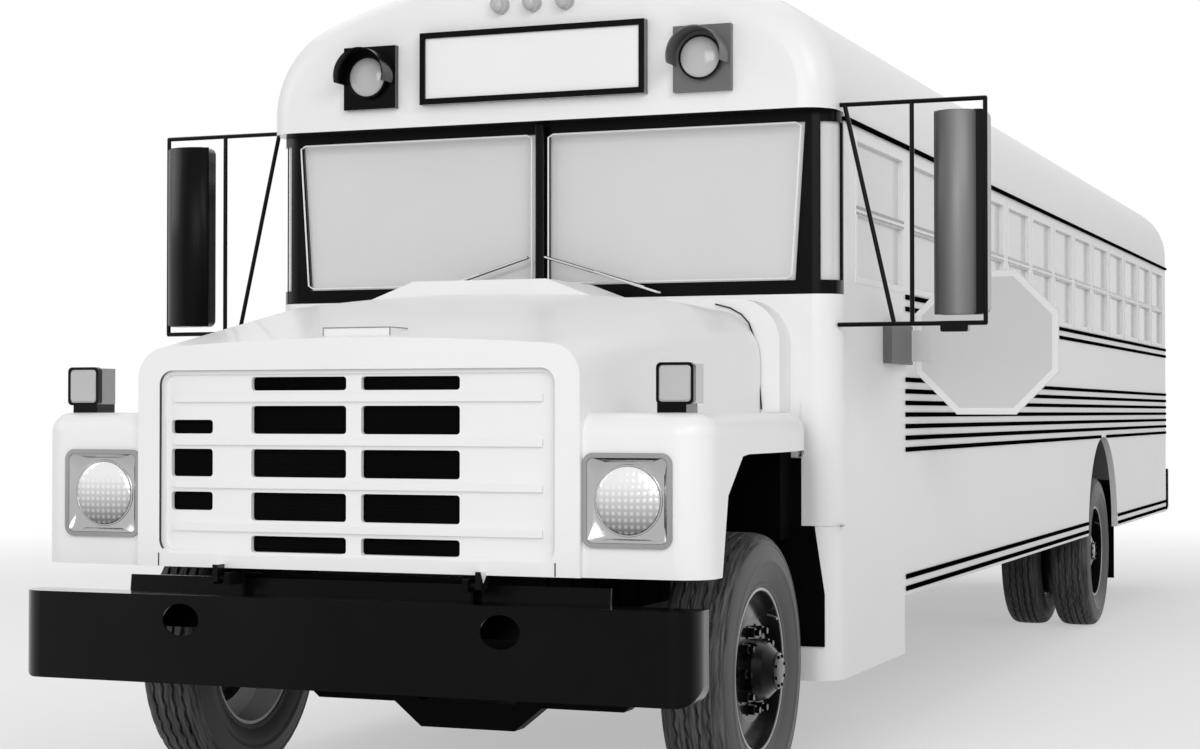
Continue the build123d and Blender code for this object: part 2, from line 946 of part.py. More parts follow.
def pane_cutters():
    """Volumes that open the two panes and the two corner panes."""
    cutters = []
    for side in (1, -1):
        cutters.append(along_y(pane_outline(side), body_y - cut_overrun, body_y + frame_depth + cut_overrun))
        centre = (side * (half - front_corner), body_y + front_corner)
        reach = front_corner * 2
        low = math.radians(corner_pane_low_degrees)
        high = math.radians(corner_pane_high_degrees)
        points = [centre]
        for angle in (low, (low + high) / 2, high):
            points.append((centre[0] + side * reach * math.sin(angle), centre[1] - reach * math.cos(angle)))
        wedge = make_face(Polyline(*points, close=True))
        cutters.append(along_z(wedge, pane_low, pane_high))
    return cutters


def windshield_frame():
    """Wrap-round frame between the cowl and the cap, with four panes open."""
    ring = Pos(0, body_y) * wrap_ring(0, -frame_depth, front_corner)
    frame = along_z(ring, windshield_sill, cap_low)
    return frame - pane_cutters()


def body_glass():
    """Windshield panes, corner panes, side windows and rear windows."""
    depth = (frame_depth - glass_thickness) / 2
    ring = Pos(0, body_y) * wrap_ring(-depth, -depth - glass_thickness, front_corner)
    sheet = along_z(ring, pane_low, pane_high)
    panes = [sheet & cutter for cutter in pane_cutters()]
    middle = half - wall / 2
    x0 = middle - glass_thickness / 2
    x1 = middle + glass_thickness / 2
    for side in (1, -1):
        ends = sorted((side * x0, side * x1))
        bays = window_bays()
        if side > 0:
            bays = [(driver_window_start, driver_window_end)] + bays
        for start, end in bays:
            for low, high in sash_lights():
                panes.append(block(
                    ends[0], ends[1], body_y + start + sash_member, body_y + end - sash_member, low, high))
    y = rear_y - wall / 2
    for side in (1, -1):
        ends = sorted((side * rear_side_window_inner, side * rear_side_window_outer))
        panes.append(block(
            ends[0], ends[1], y - glass_thickness / 2, y + glass_thickness / 2, window_low, window_high))
    return group(panes)


def sash_lights():
    """Glass heights above and below a sash's middle bar."""
    bar_low = sash_bar_level - sash_bar / 2
    return [(window_low + sash_member, bar_low), (bar_low + sash_bar, window_high - sash_member)]


def window_sashes():
    """Aluminium sash of every side window."""
    sashes = []
    for side in (1, -1):
        bays = window_bays()
        if side > 0:
            bays = [(driver_window_start, driver_window_end)] + bays
        ends = sorted((side * (inner - sash_proud), side * (half + sash_proud)))
        for start, end in bays:
            y0 = body_y + start
            y1 = body_y + end
            sash = block(ends[0], ends[1], y0, y1, window_low, window_high)
            for low, high in sash_lights():
                sash = sash - block(
                    ends[0] - cut_overrun, ends[1] + cut_overrun,
                    y0 + sash_member, y1 - sash_member, low, high)
            sashes.append(sash)
    return group(sashes)


def roof():
    """Bowed roof with its rounded rear end."""
    y0 = cap_y + cap_length
    outer = roof_form(0, eave_height, y0, rear_y, rear_corner, False)
    hollow = roof_form(wall, eave_height, y0, rear_y - wall, rear_corner, False)
    return outer - hollow


def front_cap():
    """Domed cap over the windshield, closed below where it overhangs."""
    y1 = cap_y + cap_length
    outer = roof_form(0, cap_low, cap_y, y1, cap_edge, True)
    hollow = roof_form(wall, cap_low, cap_y + wall, y1, cap_edge, True)
    shell = outer - hollow
    soffit = outer & block(-half, half, cap_y, body_y + frame_depth, cap_low, cap_low + wall)
    side_low = block(-half, half, body_y + front_corner, y1, cap_low, eave_height)
    return join([shell, soffit]) - side_low


def rear_wall():
    """Rear wall with rounded corners, the door opening and a window each side."""
    ring = Pos(0, rear_y) * Rot(0, 0, 180) * wrap_ring(0, -wall, rear_corner)
    panel = along_z(ring, skirt_bottom, eave_height)
    y0 = rear_y - rear_corner - cut_overrun
    y1 = rear_y + cut_overrun
    cuts = [
        block(-rear_door_half, rear_door_half, y0, y1, rear_door_low, rear_door_high),
        block(-guard_inner, guard_inner, y0, y1, 0, floor_bottom),
    ]
    for side in (1, -1):
        ends = sorted((side * rear_side_window_inner, side * rear_side_window_outer))
        cuts.append(block(ends[0], ends[1], y0, y1, window_low, window_high))
    return join([panel - cuts, *rear_barrels(False)])


# Hinges
def barrel_places(low, high, count):
    """Heights of the leaf's hinge barrels."""
    step = (high - low) / count
    return [low + step * (k + 1 / 2) for k in range(count)]


def hinge_set(x, y, out, along, low, high, count, on_leaf):
    """Hinge barrels with their straps: out points away from the wall, along lies in it."""
    axis_x = x + out[0] * barrel_radius
    axis_y = y + out[1] * barrel_radius
    direction = 1 if on_leaf else -1
    parts = []
    for z in barrel_places(low, high, count):
        spans = [(z - barrel_length / 2, z + barrel_length / 2)]
        if not on_leaf:
            spans = [
                (z - barrel_length - hairline, z - barrel_length / 2 - hairline),
                (z + barrel_length / 2 + hairline, z + barrel_length + hairline),
            ]
        for z0, z1 in spans:
            barrel = rod((axis_x, axis_y, z0), (axis_x, axis_y, z1), barrel_radius)
            corner_a = (x, y)
            corner_b = (
                x + direction * along[0] * strap_length + out[0] * strap_plate,
                y + direction * along[1] * strap_length + out[1] * strap_plate)
            xs = sorted((corner_a[0], corner_b[0]))
            ys = sorted((corner_a[1], corner_b[1]))
            parts.append(barrel.fuse(block(xs[0], xs[1], ys[0], ys[1], z0, z1)))
    return parts


def entrance_barrels():
    """Wall side of the entrance hinges."""
    parts = []
    for edge, along in ((door_front, 1), (door_rear, -1)):
        y = body_y + edge + along * open_gap / 2
        parts.extend(hinge_set(
            -half, y, (-1, 0), (0, along), door_low, door_high, entrance_hinge_count, False))
    return parts


def entrance_leaf_frame(edge, along):
    """One outward-swinging leaf of the entrance, with an upper and a lower pane open."""
    hinge_side = body_y + edge + along * open_gap
    free_side = body_y + (door_front + door_rear) / 2 - along * door_centre_gap / 2
    y0, y1 = sorted((hinge_side, free_side))
    low = door_low + open_gap
    high = door_high - open_gap
    leaf = block(-half, -half + door_plate, y0, y1, low, high)
    for z0, z1 in leaf_lights(low, high):
        leaf = leaf - block(
            -half - cut_overrun, -inner + cut_overrun, y0 + door_member, y1 - door_member, z0, z1)
    y = body_y + edge + along * open_gap / 2
    barrels = hinge_set(-half, y, (-1, 0), (0, along), door_low, door_high, entrance_hinge_count, True)
    return join([leaf, *barrels])


def leaf_lights(low, high):
    """Heights of a leaf's two panes."""
    rail_low = door_rail_level - door_rail / 2
    return [(low + door_member, rail_low), (rail_low + door_rail, high - door_member)]


def entrance_leaf_glass(edge, along):
    """Panes of one entrance leaf."""
    hinge_side = body_y + edge + along * open_gap
    free_side = body_y + (door_front + door_rear) / 2 - along * door_centre_gap / 2
    y0, y1 = sorted((hinge_side, free_side))
    x = -half + door_plate / 2
    panes = []
    for z0, z1 in leaf_lights(door_low + open_gap, door_high - open_gap):
        panes.append(block(
            x - glass_thickness / 2, x + glass_thickness / 2, y0 + door_member, y1 - door_member, z0, z1))
    return group(panes)


def rear_barrels(on_leaf):
    """Hinges of the rear door, on its right edge."""
    x = -rear_door_half + open_gap / 2
    return hinge_set(x, rear_y, (0, 1), (1, 0), rear_door_low, rear_door_high, rear_hinge_count, on_leaf)


def rear_door_lights():
    """Heights of the rear door's two panes."""
    split_low = rear_window_split - rear_window_split_rail / 2
    return [
        (rear_door_low + open_gap + 2 * rear_door_member, split_low),
        (split_low + rear_window_split_rail, rear_door_high - open_gap - rear_door_member),
    ]


def rear_door():
    """Emergency door in the rear wall."""
    side = rear_door_half - open_gap
    y0 = rear_y - rear_door_plate
    leaf = block(-side, side, y0, rear_y, rear_door_low + open_gap, rear_door_high - open_gap)
    glass_half = side - rear_door_member
    for z0, z1 in rear_door_lights():
        leaf = leaf - block(-glass_half, glass_half, y0 - cut_overrun, rear_y + cut_overrun, z0, z1)
    handle_x = side - rear_door_member
    grip = block(
        handle_x, side - rear_door_member / 3, rear_y, rear_y + strap_length,
        rear_window_split - rear_window_split_rail * 2, rear_window_split - rear_window_split_rail)
    return join([leaf, grip, *rear_barrels(True)])


def rear_door_glass():
    """Panes of the rear door."""
    glass_half = rear_door_half - open_gap - rear_door_member
    y = rear_y - rear_door_plate / 2
    panes = []
    for z0, z1 in rear_door_lights():
        panes.append(block(-glass_half, glass_half, y - glass_thickness / 2, y + glass_thickness / 2, z0, z1))
    return group(panes)


# Side trim
def rub_rails():
    """Rails along both sides, stopped at the wheel arch."""
    y1 = rear_y - rear_corner
    start = body_y + stripe_start
    rails = []
    levels = [stripe_low + stripe_pitch * k for k in range(stripe_count)]
    for low in (sill_stripe_low, skirt_stripe_low):
        levels.extend((low, low + rail_pair_pitch))
    for z in levels:
        over = z - skirt_bottom
        if over < arch_radius:
            chord = math.sqrt(arch_radius ** 2 - max(over, 0) ** 2) + stripe_height
            spans = [(start, rear_axle_y - chord), (rear_axle_y + chord, y1)]
        else:
            spans = [(start, y1)]
        for y0, y2 in spans:
            rails.append(block(half, half + stripe_proud, y0, y2, z, z + stripe_height))
    rails.append(block(
        half, half + drip_rail_proud, body_y + front_corner, y1, drip_rail_level,
        drip_rail_level + drip_rail_height))
    solids = []
    for rail in rails:
        solids.extend(both_sides(rail))
    return group(solids)


def splash_guards():
    """Guards on the front wall behind the front wheels and flaps behind the twin wheels."""
    outer_low = half - front_corner / 2
    outline = Polyline(
        (guard_inner, guard_low), (outer_low, guard_low), (outer_low, guard_low + front_corner * 2),
        (fender_rear_half - guard_plate, arch_rear_height - open_gap),
        (guard_inner, arch_rear_height - open_gap),
        close=True)
    guard = along_y(make_face(outline), body_y - guard_plate, body_y)
    guard = guard - cowl_form(0) - corner_cover()
    y = rear_axle_y + flap_gap
    flap = block(inner - flap_width, inner, y, y + guard_plate, flap_low, floor_bottom)
    return group([*both_sides(guard), *both_sides(flap)])


# Cabin
def bench(side, y):
    """Bench for one row, its cushion and back in one, with a leg at the aisle."""
    base = floor_top + seat_level
    cushion_low = base - seat_cushion_height
    back_top = floor_top + seat_back_height
    lean = seat_back_lean
    outline = [
        (y, cushion_low), (y, base), (y + seat_cushion_length, base),
        (y + seat_cushion_length + lean, back_top),
        (y + seat_cushion_length + lean + seat_back_thickness, back_top),
        (y + seat_cushion_length + seat_back_thickness, cushion_low),
    ]
    wall_side = inner - bench_wall_gap
    body = along_x(outline, inner - seat_width, wall_side)
    bracket = block(wall_side, inner, y, y + seat_cushion_length, cushion_low, base)
    leg_x = inner - seat_width + seat_leg_inset
    legs = []
    for leg_y in (y + seat_leg, y + seat_cushion_length - seat_leg):
        legs.append(block(leg_x, leg_x + seat_leg, leg_y, leg_y + seat_leg, floor_top, cushion_low))
    solid = join([body, bracket, *legs])
    return solid if side > 0 else mirror(solid, about=Plane.YZ)


def bench_seats():
    """Rows of benches both sides of the aisle."""
    seats = []
    for k in range(seat_rows):
        for side in (1, -1):
            seats.append(bench(side, body_y + seat_start + window_pitch * k))
    return group(seats)


def driver_seat():
    """Driver's place on its pedestal."""
    y = body_y + driver_seat_reach
    x0 = driver_place - driver_seat_width / 2
    x1 = driver_place + driver_seat_width / 2
    base = floor_top + driver_pedestal
    top = base + seat_cushion_height
    cushion = block(x0, x1, y - seat_cushion_length, y, base, top)
    back_outline = [
        (y, base), (y, top), (y + seat_back_lean, top + driver_back_height),
        (y + seat_back_lean + seat_back_thickness, top + driver_back_height), (y + seat_back_thickness, top),
        (y + seat_back_thickness, base),
    ]
    back = along_x(back_outline, x0, x1)
    post = block(
        driver_place - seat_back_thickness, driver_place + seat_back_thickness,
        y - seat_cushion_length + seat_back_thickness, y - seat_back_thickness, floor_top, base)
    return join([cushion, back, post])


def dashboard():
    """Dash across the front wall with the column and the steering ring."""
    y0 = body_y + wall
    y1 = y0 + dash_depth
    x0 = driver_place - driver_seat_width
    outline = [
        (y0, dash_low), (y0 + dash_depth / 2, dash_low),
        (y1, dash_height - dash_depth / 2), (y1, dash_height),
        (y0, dash_height),
    ]
    dash = along_x(outline, x0, inner - front_corner + wall)
    ring_y = body_y + wheel_ring_reach
    lean = math.radians(wheel_lean_degrees)
    axis = Vector(0, math.sin(lean), math.cos(lean))
    centre = Vector(driver_place, ring_y, wheel_ring_level)
    plane = Plane(origin=centre, x_dir=(1, 0, 0), z_dir=axis)
    section = Pos(wheel_ring_radius, 0) * RegularPolygon(wheel_ring_tube, wheel_ring_sides)
    ring_face = Plane.XZ * section
    ring = plane * revolve(ring_face, Axis.Z)
    spokes = []
    for k in range(wheel_ring_spokes):
        angle = 2 * math.pi * k / wheel_ring_spokes
        reach = wheel_ring_radius
        spoke = rod((0, 0, 0), (reach * math.cos(angle), reach * math.sin(angle), 0), wheel_ring_tube / 2)
        spokes.append(plane * spoke)
    hub = plane * Cylinder(column_radius * 2, wheel_ring_tube * 2)
    foot = centre - axis * ((wheel_ring_level - dash_height + dash_depth / 4) / math.cos(lean))
    column = rod(tuple(centre), tuple(foot), column_radius)
    reach_y = foot.Y
    bracket = block(
        driver_place - column_radius, driver_place + column_radius,
        y1 - column_radius, reach_y + column_radius, foot.Z, foot.Z + column_radius * 2)
    return join([dash, ring, hub, column, bracket, *spokes])


# Cap fittings
def sign_box():
    """Blank sign box on the cap."""
    y1 = cap_y
    y0 = cap_y - sign_depth
    box = block(-sign_half, sign_half, y0, y1, sign_low, sign_high)
    field = block(
        -sign_half + sign_border, sign_half - sign_border, y0 - cut_overrun, y0 + sign_border_depth,
        sign_low + sign_border, sign_high - sign_border)
    return box - field


def hooded_lamp(x, z, y, out, hood_length):
    """Round lamp on a plate with a hood over it; out is -1 to the front and +1 to the rear."""
    y0, y1 = sorted((y, y + out * warning_base))
    plate = block(
        x - warning_width / 2, x + warning_width / 2, y0, y1, z - warning_height / 2, z + warning_height / 2)
    lens = rod((x, y, z), (x, y + out * (warning_base + warning_base / 2), z), warning_radius)
    tube = rod((x, y, z), (x, y + out * (warning_base + hood_length), z), warning_radius + warning_base)
    bore = rod(
        (x, y, z), (x, y + out * (warning_base + hood_length + cut_overrun), z),
        warning_radius + warning_base - warning_hood_plate)
    reach = warning_radius + warning_base
    low = block(x - reach, x + reach, *sorted((y, y + out * (warning_base + hood_length + cut_overrun))),
                z - reach, z - warning_radius / 3)
    return join([plate, lens, tube - bore - low])


def warning_lamps():
    """Hooded lamps at both ends and the row of markers at the front."""
    lamps = []
    for side in (1, -1):
        lamps.append(hooded_lamp(side * warning_place, warning_level, cap_y, -1, warning_hood))
        lamps.append(hooded_lamp(side * rear_warning_place, rear_warning_level, rear_y, 1, rear_warning_hood))
    for k in (-1, 0, 1):
        x = k * marker_pitch
        end_y = cap_y - marker_depth / 2
        lamps.append(rod((x, cap_y, marker_level), (x, end_y, marker_level), marker_radius))
    return group(lamps)


def rear_lamps():
    """Stop, turn and reversing lamps in a column at each rear corner."""
    lamps = []
    for side in (1, -1):
        for k in range(3):
            z = rear_lamp_level + k * 2 * (rear_lamp_radius + open_gap)
            x = side * rear_lamp_place
            lamps.append(rod((x, rear_y, z), (x, rear_y + rear_lamp_depth, z), rear_lamp_radius))
    return group(lamps)


# Mirrors
def mirror_set():
    """Left mirror: a tube loop from the cap and the front wall, with a tall head on it."""
    post = mirror_post_reach
    tip = mirror_reach - mirror_tube
    skew = mirror_ahead + mirror_tube
    foot = half - front_corner + math.sqrt(front_corner ** 2 - (front_corner - skew) ** 2)
    corners = [
        ((half, mirror_arm_high), (tip, mirror_arm_high)),
        ((foot, mirror_arm_low), (tip, mirror_arm_low)),
        ((post, mirror_arm_low), (post, mirror_arm_high)),
        ((tip, mirror_arm_low), (tip, mirror_arm_high)),
        ((half + mirror_tube * 2, mirror_arm_high), (mirror_brace_low, mirror_arm_low)),
    ]
    tubes = [rod((a, mirror_y, b), (c, mirror_y, d), mirror_tube) for (a, b), (c, d) in corners]
    for z in (mirror_arm_low, mirror_arm_high):
        tubes.append(Pos(tip, mirror_y, z) * Sphere(mirror_tube))
    x1 = mirror_reach
    section = Pos(x1 - mirror_head_width / 2, (mirror_head_low + mirror_head_high) / 2) * RectangleRounded(
        mirror_head_width, mirror_head_high - mirror_head_low, mirror_head_corner)
    head = along_y(section, mirror_y, mirror_y + mirror_head_depth)
    return join([*tubes, head])


def mirrors():
    return group(both_sides(mirror_set()))


# Stop arm
def sign_axis():
    """Place of the stop sign's hinge pin."""
    x = half + sign_sleeve_radius + sign_wall_gap
    return (x, body_y + bracket_front + bracket_length + sign_sleeve_radius * 2)


def stop_bracket():
    """Housing on the left side with two lugs and the hinge pin."""
    y0 = body_y + bracket_front
    y1 = y0 + bracket_length
    z0 = bracket_low
    z1 = bracket_low + bracket_height
    housing = block(half, half + bracket_depth, y0, y1, z0, z1)
    ax, ay = sign_axis()
    parts = [housing]
    for low in (z0, z1 - sign_lug_plate):
        parts.append(block(
            ax - sign_lug_plate, ax + sign_lug_plate, y1 - sign_sleeve_radius, ay, low, low + sign_lug_plate))
        parts.append(rod((ax, ay, low), (ax, ay, low + sign_lug_plate), sign_lug_plate))
    parts.append(rod((ax, ay, z0), (ax, ay, z1), sign_pin_radius))
    return join(parts)


def stop_sign():
    """Blank eight-sided sign on its sleeve, swung out from the side."""
    ax, ay = sign_axis()
    z0 = bracket_low + sign_lug_plate + open_gap / 3
    z1 = bracket_low + bracket_height - sign_lug_plate - open_gap / 3
    sleeve = rod((ax, ay, z0), (ax, ay, z1), sign_sleeve_radius)
    bore = rod((ax, ay, z0 - cut_overrun), (ax, ay, z1 + cut_overrun), sign_pin_radius + bore_clearance)
    start = ax + sign_edge_gap
    centre_x = start + sign_flats / 2
    octagon = Pos(centre_x, stop_level) * RegularPolygon(
        sign_flats / 2, sign_sides, major_radius=False, rotation=180 / sign_sides)
    plate = along_y(octagon, ay - stop_plate / 2, ay + stop_plate / 2)
    arm = block(ax, start + strap_length, ay - sign_sleeve_radius / 2, ay + sign_sleeve_radius / 2, z0, z1)
    return join([sleeve, arm, plate]) - bore


# Hood
def nose_outline(side, top, corner, crown, low, y):
    """Section of the nose on the plane at y."""
    bend = corner * (1 - math.sqrt(2) / 2)
    crown_top = top + crown
    points = [
        (side, low), (side, top - corner), (side - bend, top - bend), (side - corner, top), (0, crown_top),
    ]
    lines = [
        Line(points[0], points[1]),
        ThreePointArc(points[1], points[2], points[3]),
        ThreePointArc(points[3], points[4], (-points[3][0], points[3][1])),
        ThreePointArc(
            (-points[3][0], points[3][1]), (-points[2][0], points[2][1]), (-points[1][0], points[1][1])),
        Line((-points[1][0], points[1][1]), (-points[0][0], points[0][1])),
        Line((-points[0][0], points[0][1]), points[0]),
    ]
    return Plane(origin=(0, y, 0), x_dir=(1, 0, 0), z_dir=(0, -1, 0)) * make_face(lines)


def nose_form(inset):
    """Nose volume from the grille, over the engine, to the cowl."""
    low = hood_low - (cut_overrun if inset else 0)
    # half width, top, corner radius, crown, place along the bus
    sections = [
        (nose_half, nose_top, nose_corner, nose_crown, nose_y + inset),
        (hood_mid_half, hood_mid_top, hood_mid_corner, hood_mid_crown, body_y - hood_mid_reach),
        (hood_rear_half, hood_rear_top, hood_rear_corner, hood_rear_crown, hood_rear_y),
    ]
    faces = []
    for side, top, corner, crown, y in sections:
        faces.append(nose_outline(side - inset, top - inset, corner - inset, crown, low, y))
    return loft(faces, ruled=True)


def hood_bulge():
    """Raised middle of the hood ahead of the windshield."""
    low = hood_mid_top - hood_skin
    base = hood_mid_top + bulge_rise / 2
    high = base + bulge_height
    outline = Polyline(
        (bulge_base_half, low), (bulge_base_half, base), (bulge_top_half, high), (-bulge_top_half, high),
        (-bulge_base_half, base), (-bulge_base_half, low), close=True)
    front = body_y - bulge_front_reach
    return along_y(make_face(outline), front, hood_rear_y - open_gap) - nose_form(0)


def fender_plan(inset):
    """Plan of both fenders, narrowing towards the cowl."""
    side = fender_half - inset
    rear_side = fender_rear_half - inset
    start = fender_y + inset
    corner = fender_corner - inset
    taper = body_y - fender_taper_start
    end = body_y - fender_rear_gap
    bend = corner * (1 - math.sqrt(2) / 2)
    run = end - taper
    offset_x = side - rear_side
    radius = (offset_x ** 2 + run ** 2) / (2 * offset_x)
    half_angle = math.asin(run / radius) / 2
    mid = (side - radius * (1 - math.cos(half_angle)), taper + radius * math.sin(half_angle))
    right = [
        Line((side - corner, start), (corner - side, start)),
        ThreePointArc((side - corner, start), (side - bend, start + bend), (side, start + corner)),
        Line((side, start + corner), (side, taper)),
        ThreePointArc((side, taper), mid, (rear_side, end)),
        Line((rear_side, end), (-rear_side, end)),
        ThreePointArc((-rear_side, end), (-mid[0], mid[1]), (-side, taper)),
        Line((-side, taper), (-side, start + corner)),
        ThreePointArc((-side, start + corner), (bend - side, start + bend), (corner - side, start)),
    ]
    return make_face(right)


def fender_form(inset):
    """Fender volume with its top edges rounded."""
    low = hood_low - (cut_overrun if inset else 0)
    top = fender_top - inset
    solid = along_z(fender_plan(inset), low, top)
    end = body_y - fender_rear_gap
    chosen = []
    for edge_line in solid.edges():
        box = edge_line.bounding_box()
        on_top = abs(box.min.Z - top) < hairline
        at_rear = abs(box.min.Y - end) < hairline
        if on_top and not at_rear:
            chosen.append(edge_line)
    return fillet(chosen, fender_edge - inset)


def arch_cutter():
    """Side profile of the front wheel arch, through both fenders."""
    front = body_y - arch_front_foot
    top = body_y - arch_front_top
    end = body_y
    low = hood_low - cut_overrun
    middle = front_axle_y + tyre_radius
    outline = [
        (front, low), (front + arch_front_corner / 2, hood_low + arch_front_corner * 2),
        (top - arch_front_corner / 2, arch_height - open_gap), (top, arch_height),
        (middle - arch_front_corner, arch_height), (middle + arch_front_corner, arch_rear_height),
        (end, arch_rear_height), (end, low),
    ]
    return along_x(outline, nose_half + hood_skin, body_width)


def hood():
    """One-piece hood with its fenders, open below, behind and at the grille."""
    outer = nose_form(0).fuse(fender_form(0))
    shell = outer - nose_form(hood_skin) - fender_form(hood_skin)
    cowl_room = block(
        -cowl_half - open_gap, cowl_half + open_gap, hood_rear_y - open_gap, body_y, 0, eave_height)
    shell = shell - cowl_room
    for side in both_sides(arch_cutter()):
        shell = shell - side
    mouth = Pos(0, (grille_low + grille_top) / 2) * RectangleRounded(
        2 * grille_half, grille_top - grille_low, grille_corner)
    shell = shell - along_y(mouth, nose_y - cut_overrun, nose_y + hood_skin * 2)
    lamp_hole = along_y(
        head_lamp_outline(head_lamp_flange), fender_y - cut_overrun, fender_y + hood_skin * 2)
    for hole in both_sides(lamp_hole):
        shell = shell - hole
    latch = block(
        -latch_half, latch_half, nose_y + latch_depth / 2, nose_y + latch_depth * 2, nose_top,
        nose_top + latch_height)
    latch = latch - nose_form(0)
    lug = block(
        hinge_lug_half, hinge_lug_half + hinge_ear, hinge_y - hinge_ear, nose_y + hood_skin,
        hinge_level - hinge_ear / 2, hood_low + hood_skin)
    eye = rod(
        (hinge_lug_half, hinge_y, hinge_level),
        (hinge_lug_half + hinge_ear, hinge_y, hinge_level), hinge_ear)
    bore = rod(
        (hinge_lug_half - cut_overrun, hinge_y, hinge_level),
        (hinge_lug_half + hinge_ear + cut_overrun, hinge_y, hinge_level), hinge_pin + bore_clearance)
    lug = join([lug, eye]) - bore
    solids = join([shell, latch, hood_bulge(), *both_sides(lug)]).solids().sort_by(SortBy.VOLUME)
    return solids[-1]


def slot_rows():
    """Heights of the grille's slots, the top and bottom ones cut short by its edges."""
    rows = []
    low = slot_low
    while low < grille_top - grille_corner:
        start = max(low, grille_low + rib_width / 2)
        end = min(low + slot_height, grille_top - rib_width)
        if end > start:
            rows.append((start, end))
        low = low + slot_pitch
    return rows


def slot_cut(x0, x1, low, high):
    """Cutter for one slot of the grille, with rounded corners."""
    y0 = nose_y + grille_recess
    outline = Pos((x0 + x1) / 2, (low + high) / 2) * RectangleRounded(x1 - x0, high - low, slot_corner)
    return along_y(outline, y0 - rib_height - cut_overrun, y0 + grille_plate + cut_overrun)


def grille():
    """Recessed panel with its slots and the ribs between them."""
    y0 = nose_y + grille_recess
    y1 = y0 + grille_plate
    middle = Pos(0, (grille_low + grille_top) / 2)
    grow = 2 * grille_flange
    outline = middle * RectangleRounded(
        2 * grille_half + grow, grille_top - grille_low + grow, grille_corner + grille_flange)
    opening = middle * RectangleRounded(
        2 * grille_half - grow, grille_top - grille_low - grow, grille_corner - grille_flange)
    panel = along_y(outline, y0, y1)
    surround = along_y(outline - opening, nose_y + hood_skin, y0)
    parts = [panel, surround]
    rows = slot_rows()
    edges = []
    for low, high in rows:
        for ends in ((slot_inner, slot_outer), (-slot_outer, -slot_inner)):
            edges.append(slot_cut(ends[0], ends[1], low, high))
    for (low, high), (start_share, end_share) in zip(rows[1:-1], side_slot_shares):
        start = low + (high - low) * start_share
        end = low + (high - low) * end_share
        edges.append(slot_cut(-side_slot_outer, -side_slot_inner, start, end))
    solid = join(parts)
    for k in range(1, len(rows)):
        z = (rows[k - 1][1] + rows[k][0]) / 2
        solid = solid.fuse(block(
            -grille_half + grille_corner, grille_half - grille_corner, y0 - rib_height, y0, z - rib_width / 2,
            z + rib_width / 2))
    return solid - edges


def head_lamp_outline(inset):
    """Rounded square of one headlamp, drawn in by an inset."""
    width = head_lamp_width - 2 * inset
    return Pos(head_lamp_place, head_lamp_level) * RectangleRounded(width, width, head_lamp_corner - inset)


def head_lamps():
    """Square headlamp units let into the fenders' front faces, with round lenses in their recesses."""
    lamps = []
    y0 = fender_y - head_lamp_proud
    end = y0 + head_lamp_depth
    lens_y = y0 + head_lamp_setback
    flange = along_y(head_lamp_outline(0), y0, fender_y)
    bucket = along_y(head_lamp_outline(head_lamp_flange), fender_y, end)
    recess = along_y(head_lamp_outline(head_lamp_rim), y0 - cut_overrun, lens_y)
    lens = rod(
        (head_lamp_place, y0 + head_lamp_rim, head_lamp_level),
        (head_lamp_place, end, head_lamp_level), head_lamp_radius)
    lamp = join([flange, bucket]) - recess
    lamp = lamp.fuse(lens) - nose_form(0)
    lamps.extend(both_sides(lamp))
    return group(lamps)


def turn_signals():
    """Turn signals on short stands on the fender tops."""
    y0 = front_y + turn_lamp_setback
    box = block(
        turn_lamp_place - turn_lamp_width / 2, turn_lamp_place + turn_lamp_width / 2,
        y0 - turn_lamp_depth / 2, y0 + turn_lamp_depth / 2,
        fender_top + turn_lamp_stand, fender_top + turn_lamp_stand + turn_lamp_height)
    y_stand = fender_y + fender_edge
    stand = block(
        turn_lamp_place - turn_lamp_width / 2, turn_lamp_place + turn_lamp_width / 3, y_stand,
        y_stand + turn_lamp_depth, fender_top, fender_top + turn_lamp_stand)
    return group(both_sides(join([box, stand])))


# Running gear
def tyre_points(centre, width):
    """Tyre outline in (x, radius)."""
    w = width / 2
    b = bead_width / 2
    wall_r = (tyre_radius + rim_radius) / 2
    return [
        (centre - b, rim_radius), (centre + b, rim_radius), (centre + w, wall_r),
        (centre + w - tyre_shoulder / 2, tyre_radius - tyre_shoulder),
        (centre + w - tyre_shoulder, tyre_radius - tyre_crown_drop),
        (centre + w - tyre_shoulder * 2, tyre_radius), (centre - w + tyre_shoulder * 2, tyre_radius),
        (centre - w + tyre_shoulder, tyre_radius - tyre_crown_drop),
        (centre - w + tyre_shoulder / 2, tyre_radius - tyre_shoulder), (centre - w, wall_r),
    ]


def front_tyre(side):
    return turned(tyre_points(front_tyre_centre, tyre_width), side, front_axle_y)


def rear_tyres(side):
    places = (rear_tyre_centre, twin_inner_centre)
    return group([turned(tyre_points(place, tyre_width), side, rear_axle_y) for place in places])


def studs(base_x, side, y):
    """Wheel studs standing out of one wheel's disc."""
    bars = []
    for k in range(stud_count):
        angle = 2 * math.pi * k / stud_count
        py = y + stud_circle / 2 * math.cos(angle)
        pz = axle_z + stud_circle / 2 * math.sin(angle)
        bars.append(rod((side * base_x, py, pz), (side * (base_x + stud_length), py, pz), stud_radius))
    return bars


